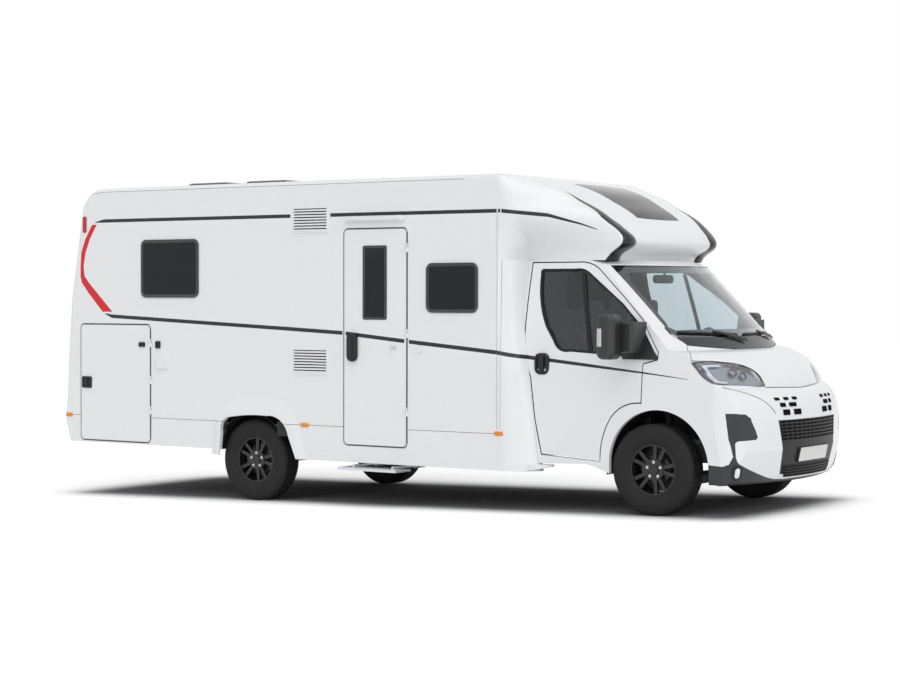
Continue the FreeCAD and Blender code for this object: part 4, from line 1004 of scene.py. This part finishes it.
for side, word in SIDES:
    probe, outward = lamp_view(side)
    outline, _ = edge_loops(probe, LAMP_MIDDLE, (0.01, 0.01, 0.01), RIM_POINTS)
    bm = bmesh.new()
    bowl = laid_rings(bm, probe, outward, outline, ((0.995, -0.001), (0.93, -0.006), (0.90, -0.026), (0.55, -0.030)))
    finish_faces(bowl[RIM_POINTS:], 1)
    bmesh.ops.solidify(bm, geom=bowl, thickness=0.002)
    rear_edge = min(range(RIM_POINTS), key=lambda k: outline[k].x)
    part = [outline[k % RIM_POINTS] for k in range(rear_edge - 6, rear_edge + 17)]
    outer, inner = ([bm.verts.new(probe(p)[0] + probe(p)[1] * -0.010) for p in shrunk(part, share)]
                    for share in (0.80, 0.66))
    bar = [bm.faces.new((a, b, d, c)) for a, b, c, d in zip(outer, outer[1:], inner, inner[1:])]
    look(bm, bar, outward)
    finish_faces(bar, 2)
    bmesh.ops.solidify(bm, geom=bar, thickness=0.006)
    for s, z, r in REFLECTORS:
        point, normal = probe(Vector((s, z)))
        spot = Matrix.Translation(point + normal * -0.020) @ normal.to_track_quat("Z", "Y").to_matrix().to_4x4()
        faces = rod(bm, spot, 0.016, r, r * 1.12, 32)
        inset(bm, faces, spot.to_3x3() @ Vector((0, 0, 1)), (0.004, 0), (r * 0.35, -0.010))
        finish_faces(faces, 1)
    piece(bm, f"headlamp_bowl_{word}", "body", [gloss_black, reflector, light_bar])
    bm = bmesh.new()
    lens = laid_rings(bm, probe, outward, outline, ((1.0, 0.0), (0.97, 0.0015), (0.8, 0.0015), (0.55, 0.0015),
                                                    (0.25, 0.0015)))
    bmesh.ops.solidify(bm, geom=lens, thickness=0.002)
    lens_piece = piece(bm, f"headlamp_lens_{word}", "body", [lens_glass], smooth=60)
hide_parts("headlamps")

# %% [markdown]
# Small things that sit on a curved skin need a frame of their own there: out along the skin's normal, across, and up.
# With that frame a fog lamp is the same rounded slab as everything else, only placed by a matrix. The fog lamps stand
# in the bumper's lower corners.

# %% Fog lamps
def sit_on(names, start, direction):
    """A matrix on a skin: local X points out along its normal, local Y across and local Z up."""
    place, normal = land(names, start, direction)
    across = Vector((0, 0, 1)).cross(normal).normalized()
    upright = normal.cross(across)
    return Matrix.Translation(place) @ Matrix((normal, across, upright)).transposed().to_4x4()


bm = bmesh.new()
for side, _ in SIDES:
    spot = sit_on(["front_bumper"], (0.72, side * 3, 0.470), (0, -side, 0))
    before = set(bm.verts)
    housing = slab(bm, (-0.02, -0.050, -0.062), (0.004, 0.050, 0.062), "X", 0.045, 0.004, 6)
    inset(bm, housing, (1, 0, 0), (0.012, 0), (0.004, -0.006))
    slab(bm, (-0.02, -0.026, -0.042), (0.002, 0.026, 0.042), "X", 0.024, 0.004, 6, 1)
    bmesh.ops.transform(bm, matrix=spot, verts=[v for v in bm.verts if v not in before])
piece(bm, "fog_lamps", "body", [dark_plastic, light_bar])

# %% [markdown]
# The lowest air intake is a long black mouth under the number plate. It is laid on the nose like the grille, with
# smaller cells, whose matt black is painted shade too.

# %% Lower air intake
barred("lower_intake", 18, 4, 0.457, 0.092, 0.86, 0.06, 0.005, 0.003)

# %% [markdown]
# Behind the spokes of a real wheel you see a brake disc with its hat, a dust shield that closes the rim, and a
# caliper. The discs turn with the wheels; the shields and calipers stay with what carries the wheel. Five bright
# bolts stand round a plain cap.

# %% Brakes and wheel bolts
disc_iron = finish_of("brake_disc_iron", (0.10, 0.10, 0.105), 0.4, metal=0.8, size=60)
bolt_zinc = finish_of("wheel_bolts", (0.55, 0.56, 0.58), 0.3, metal=0.9, size=90)
DISC_R = {"front": 0.118, "rear": 0.140}
BOLTS, BOLT_CIRCLE = 5, 0.062


def drum(bm, x, z, r0, r1, y0, y1, index=0, segments=48):
    """A short round body along Y between two sideways places, r0 wide at the first end and r1 at the other."""
    place = Matrix.Translation((x, (y0 + y1) / 2, z)) @ Matrix.Rotation(-pi / 2, 4, "X")
    rod(bm, place, abs(y1 - y0), r0, r1, segments, index)


for end, hub_x, hub_y in AXLES:
    for side, word in SIDES:
        y, wide = side * hub_y, DISC_R[end]
        bm = bmesh.new()
        drum(bm, hub_x, HUB, wide, wide, y - side * 0.012, y + side * 0.006)
        drum(bm, hub_x, HUB, 0.080, 0.080, y + side * 0.006, y + side * 0.021)
        for k in range(BOLTS):
            turn = 2 * pi * k / BOLTS + pi / 2
            x, z = hub_x + BOLT_CIRCLE * cos(turn), HUB + BOLT_CIRCLE * sin(turn)
            drum(bm, x, z, 0.0125, 0.0125, y + side * 0.066, y + side * 0.070, 1, 20)
            drum(bm, x, z, 0.0095, 0.0085, y + side * 0.068, y + side * 0.078, 1, 6)
        piece(bm, f"brake_disc_{end}_{word}", f"wheel_{end}_{word}", [disc_iron, bolt_zinc], lean=False)
        bm = bmesh.new()
        drum(bm, hub_x, HUB, 0.174, 0.176, y - side * 0.038, y - side * 0.034)
        caliper = (hub_x - wide - 0.022, hub_x - wide + 0.040, HUB - 0.055, HUB + 0.055)
        flank_slab(bm, side, caliper, hub_y - 0.033, hub_y + 0.012, 0.012, 0.004, 4, 1)
        carrier = f"steer_{word}" if end == "front" else "body"
        piece(bm, f"brake_shield_{end}_{word}", carrier, [steel, cast], lean=False)

# %% [markdown]
# The interior mirror hangs on a short arm from above the screen and is turned a little to the driver.

# %% Interior mirror
bm = bmesh.new()
head = slab(bm, (-0.014, -0.115, -0.036), (0.014, 0.115, 0.036), "X", 0.03, 0.006, 6)
inset(bm, head, (-1, 0, 0), (0.006, 0)).material_index = 1
rod(bm, Matrix.Translation((0.020, 0, 0.062)) @ Matrix.Rotation(radians(14), 4, "Y"), 0.10, 0.009, 0.012, 16)
bmesh.ops.transform(bm, matrix=Matrix.Translation((-0.43, -0.03, 1.998)) @ Matrix.Rotation(radians(-16), 4, "Z"),
                    verts=bm.verts)
piece(bm, "interior_mirror", "body", [dark_plastic, mirror_shine])

# %% [markdown]
# Two wipers rest along the foot of the screen. A wiper is a line of small steps laid on the glass: a narrow grid is
# stretched between two places seen from the front, dropped on the glass and thickened.

# %% Wipers
SCREEN = ["windscreen", "cab_shell"]
WIPERS = ((((-0.80, 1.562), (-0.16, 1.538)), ((-0.46, 1.560), (-0.10, 1.490))),
          (((-0.04, 1.540), (0.58, 1.545)), ((0.24, 1.555), (0.60, 1.500))))


def lay_bar(bm, ends, widths, rise, thick):
    """A slim bar between two (y, z) places, seen from the front, laid on the screen."""
    (y0, z0), (y1, z1) = ends
    across = Vector((z0 - z1, y1 - y0)).normalized()

    def place(u, t):
        off = (u - 0.5) * (widths[0] + (widths[1] - widths[0]) * t)
        seen = (3, y0 + (y1 - y0) * t + across.x * off, z0 + (z1 - z0) * t + across.y * off)
        point, normal = land(SCREEN, seen, (-1, 0, 0))
        return point + normal * rise

    sheet(bm, 1, 12, place, (1, 0, 0), thick)


bm = bmesh.new()
for blade, arm in WIPERS:
    lay_bar(bm, blade, (0.012, 0.012), 0.014, 0.012)
    lay_bar(bm, arm, (0.014, 0.026), 0.024, 0.008)
piece(bm, "wipers", "body", [dark_plastic])

# %% [markdown]
# Inside each front wheel arch hangs a black plastic liner, a half barrel that keeps spray off the engine. One edge
# is spun most of the way round the arch's middle and thickened. Over each rear wheel a box follows the arch's own
# outline inwards, a cheek closes it towards the room, a second barrel lies closer over the wheel, and small plates
# cover the corners between the two.

# %% Arch liners
WHEEL_BOX = [(-0.370, 0.45), (-0.352, 0.62), (-0.333, 0.735), (-0.285, 0.780), (-0.210, 0.797), (0.0, 0.804),
             (0.225, 0.804), (0.340, 0.787), (0.425, 0.737), (0.487, 0.625), (0.550, 0.48)]
INNER, OUTER = 0.832, 1.133
BARRELS = (((0.055, 0, 0.50), 0.478, -15, 206, (0.60, 1.005)), ((-WHEELBASE, 0, HUB), 0.424, 35, 110, (INNER, OUTER)))
bm = bmesh.new()
for side, _ in SIDES:
    outer, inner = ([bm.verts.new((x - WHEELBASE, side * y, z)) for x, z in WHEEL_BOX] for y in (OUTER, INNER))
    for a, b, c, d in zip(outer, outer[1:], inner[1:], inner):
        bm.faces.new((a, b, c, d))
    bm.faces.new(inner[1:-1])
for side, _ in SIDES:
    for middle, radius, first, turn, reach in BARRELS:
        start = Vector(middle) + Vector((radius * cos(radians(first)), 0, radius * sin(radians(first))))
        pair = [bm.verts.new(start + Vector((0, side * y, 0))) for y in reach]
        bmesh.ops.spin(bm, geom=pair + [bm.edges.new(pair)], cent=middle, axis=(0, -1, 0), dvec=(0, 0, 0),
                       angle=radians(turn), steps=32, use_merge=False, use_duplicate=False)
bmesh.ops.recalc_face_normals(bm, faces=bm.faces)
bmesh.ops.solidify(bm, geom=list(bm.faces), thickness=0.003)
for side, _ in SIDES:
    for x0, x1 in ((-0.365, -0.300), (0.300, 0.520)):
        flank_slab(bm, side, (x0 - WHEELBASE, x1 - WHEELBASE, 0.60, 0.73), 1.131, 1.1345, 0.004, 0, 2)
piece(bm, "arch_liners", "body", [dark_plastic])

# %% [markdown]
# The two cab seats have padded cushions, backs and headrests. A pad starts as a cube cut into a fine grid. Each
# vertex is pulled towards a rounded box, the faces you sit on are crowned, and two sewn channels are pressed in
# with a narrow bell curve. The base under each seat is a plain moulded box, and two rods carry each headrest.

# %% Cab seats
GRID_CUTS, ROUNDING, SEWN_IN = 19, 5, 0.965
CHANNEL, BELL = 0.010, 2.718


def pad(bm, low, high, crown, channels=(), lean_back=0.0):
    """A sewn pad between two corners; crown is how far its seat (z) or its front (x) swells."""
    low, high = Vector(low), Vector(high)
    size, middle = (high - low) / 2, (high + low) / 2
    one = bmesh.new()
    bmesh.ops.create_cube(one, size=2)
    bmesh.ops.subdivide_edges(one, edges=list(one.edges), cuts=GRID_CUTS, use_grid_fill=True)
    for v in one.verts:
        u = v.co.copy()
        norm = (abs(u.x) ** ROUNDING + abs(u.y) ** ROUNDING + abs(u.z) ** ROUNDING) ** (1 / ROUNDING)
        u *= max(abs(u.x), abs(u.y), abs(u.z)) / norm
        swell = (1 if crown.x else 1 - u.x * u.x) * (1 - u.y * u.y) * (1 if crown.z else 1 - u.z * u.z)
        place = Vector((u.x * size.x, u.y * size.y, u.z * size.z)) * SEWN_IN
        way = Vector((1 if crown.x * u.x > 0 else 0, 0, 1 if crown.z * u.z > 0 else 0))
        place += Vector((crown.x * way.x, 0, crown.z * way.z)) * swell
        for channel in channels:
            groove = CHANNEL * pow(BELL, -((place.y - channel) / CHANNEL) ** 2)
            place -= Vector((way.x * groove * (1 if crown.x > 0 else -1), 0, way.z * groove))
        place.x -= lean_back * (place.z + size.z)
        v.co = middle + place
    shape = bpy.data.meshes.new("pad")
    one.to_mesh(shape)
    one.free()
    bm.from_mesh(shape)
    bpy.data.meshes.remove(shape)


cushions, backs, rests, bases = (bmesh.new() for _ in range(4))
for y in (-0.48, 0.48):
    pad(cushions, (-0.79, y - 0.235, 0.965), (-0.295, y + 0.235, 1.075), Vector((0, 0, 0.018)), (-0.12, 0.12))
    pad(backs, (-0.83, y - 0.225, 1.10), (-0.735, y + 0.225, 1.61), Vector((0.016, 0, 0)), (-0.12, 0.12), 0.19)
    pad(rests, (-0.885, y - 0.12, 1.66), (-0.805, y + 0.12, 1.825), Vector((0.012, 0, 0)))
    slab(bases, (-0.75, y - 0.19, 0.705), (-0.39, y + 0.19, 0.955), "Z", 0.03, 0.008, 4)
    for off in (-0.05, 0.05):
        rod(bases, Matrix.Translation((-0.865, y + off, 1.635)), 0.14, 0.006, segments=12)
for group, name, fill in ((cushions, "seat_cushions", 0.7), (backs, "seat_backs", 0.7), (rests, "headrests", 0.8)):
    made = piece(group, name, "body", [cloth], smooth=70)
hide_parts("cab_seats")
piece(bases, "seat_bases", "body", [dark_plastic])

# %% [markdown]
# The flank carries small things: the lock and the folding handle of the garage door, a catch that holds it open, a
# red marker near the rear top, amber side markers and the lid of the mains socket. The same pieces stand on both
# sides where the real vehicle has them on both. Each is a rounded slab with one or two insets.

# %% Fittings on the flanks
DOOR_SKIN = HALF + 0.004
MARKERS = ((-6.28, 0.708), (-3.395, 0.710), (-1.354, 0.714))


def fitting(bm, side, rect, out, corner, rim=0.0, depth=0.0, index=0, skin=HALF):
    """A rounded tile on a flank over a rectangle x0, x1, z0, z1, standing out from the wall."""
    faces = flank_slab(bm, side, rect, skin - 0.002, skin + out, corner, min(0.002, out / 3), 4, index)
    if rim:
        inset(bm, faces, (0, side, 0), (rim, 0), (0.002, depth))


for side, word in SIDES:
    bm = bmesh.new()
    fitting(bm, side, (-6.100, -5.978, 0.972, 1.082), 0.012, 0.014, 0.012, -0.006, 0, DOOR_SKIN)
    fitting(bm, side, (-6.052, -6.026, 0.990, 1.064), 0.014, 0.010, skin=DOOR_SKIN)
    fitting(bm, side, (-5.368, -5.293, 1.374, 1.418), 0.012, 0.010, 0.008, -0.004, 0, DOOR_SKIN)
    piece(bm, f"garage_lock_{word}", f"garage_door_{word}", [dark_plastic])
bm = bmesh.new()
for side, _ in SIDES:
    fitting(bm, side, (-5.160, -5.104, 1.362, 1.430), 0.016, 0.012, 0.010, -0.005, 0)
    fitting(bm, side, (-6.092, -6.048, 2.455, 2.610), 0.010, 0.018, 0.006, 0.002, 1)
    for x, z in MARKERS:
        fitting(bm, side, (x - 0.042, x + 0.042, z - 0.018, z + 0.018), 0.008, 0.010, 0.004, 0.001, 2)
piece(bm, "flank_fittings", "body", [dark_plastic, red_lens, amber])
bm = bmesh.new()
fitting(bm, -1, (-5.134, -5.020, 1.176, 1.310), 0.008, 0.012, 0.010, -0.002, 0, HALF + 0.013)
piece(bm, "socket_lid", "body", [flank_paint])

# %% [markdown]
# The fridge breathes through two louvred panels on the right wall. Their frames and slats are solids already, but the
# openings between the slats have to look deep, so a matt black sheet of narrow tiles lies at the foot of the slats as
# painted shade.

# %% Louvre shadows
SLATS = 8
bm = bmesh.new()
for z0, z1 in ((2.410, 2.638), (1.160, 1.389)):
    pitch = (z1 - z0 - 0.028) / SLATS
    for i in range(SLATS):
        top = z0 + 0.014 + i * pitch + pitch
        flank_slab(bm, -1, (-3.517, -3.156, top - 0.009, top + 0.001), HALF + 0.002, HALF + 0.0042, 0.001, 0, 1)
piece(bm, "louvre_shadows", "body", [opening_shade])

# %% [markdown]
# Over the entrance door sits a long porch lamp with a milky lens, which also throws the rain clear of the door. The
# door has its own small lock flap and a catch on the wall beside it.

# %% Porch lamp, lock flap and door catch
milky = finish_of("milky_lens", (0.74, 0.75, 0.76), 0.3, size=200, coat=0.2)
bm = bmesh.new()
flank_slab(bm, -1, (-2.945, -2.316, 2.492, 2.548), HALF - 0.002, HALF + 0.030, 0.026, 0.010, 6)
flank_slab(bm, -1, (-2.915, -2.346, 2.502, 2.540), HALF + 0.020, HALF + 0.052, 0.018, 0.012, 6, 1)
fitting(bm, -1, (-2.178, -2.122, 1.375, 1.440), 0.016, 0.020, 0.010, -0.004, 0)
piece(bm, "porch_lamp", "body", [flank_paint, milky])
bm = bmesh.new()
fitting(bm, -1, (-2.462, -2.398, 1.395, 1.430), 0.012, 0.008, 0.007, -0.003, 0, DOOR_SKIN)
piece(bm, "entrance_lock_flap", "entrance_door", [aluminium])

# %% [markdown]
# The rear wall has its lamps as solids. Over each red solid lie three lenses one above the other, each in a dark
# surround, and between the two lamps stands a blank number plate under its own small light.

# %% Rear wall
LENSES = ((1.035, 1.165, 0), (0.905, 1.020, 1), (0.775, 0.890, 2))


def rear_skin(y, z):
    """The level x of the rear of the house at a sideways and an upright place."""
    return land(["rear_wall", "skirts", "tail_lamps"], (-9, y, z), (1, 0, 0))[0].x


bm = bmesh.new()
for side, _ in SIDES:
    y0, y1 = sorted((side * (HALF - 0.290), side * (HALF - 0.185)))
    for z0, z1, lens_index in LENSES:
        for shrink, out, index in ((0.0, 0.006, 3), (0.010, 0.012, lens_index)):

            def place(u, v):
                """A place over the rear skin, a little out from it."""
                y = y0 + shrink + (y1 - y0 - 2 * shrink) * u
                z = z0 + shrink + (z1 - z0 - 2 * shrink) * v
                return Vector((rear_skin(y, z) - out, y, z))

            sheet(bm, 6, 6, place, (-1, 0, 0), 0.005, index)
piece(bm, "tail_lamp_lenses", "body", [red_lens, amber, milky, gloss_black])

plate_x = rear_skin(0.0, 1.02)
bm = bmesh.new()
slab(bm, (plate_x - 0.010, -0.268, 0.955), (plate_x + 0.030, 0.268, 1.085), "X", 0.008, 0.002, 3)
faces = slab(bm, (plate_x - 0.013, -0.260, 0.963), (plate_x - 0.009, 0.260, 1.077), "X", 0.010, 0, 4, 1)
inset(bm, faces, (-1, 0, 0), (0.004, 0.0015))
slab(bm, (plate_x - 0.022, -0.075, 1.100), (plate_x + 0.030, 0.075, 1.128), "X", 0.012, 0.004, 4)
piece(bm, "rear_plate", "body", [dark_plastic, plate_white])
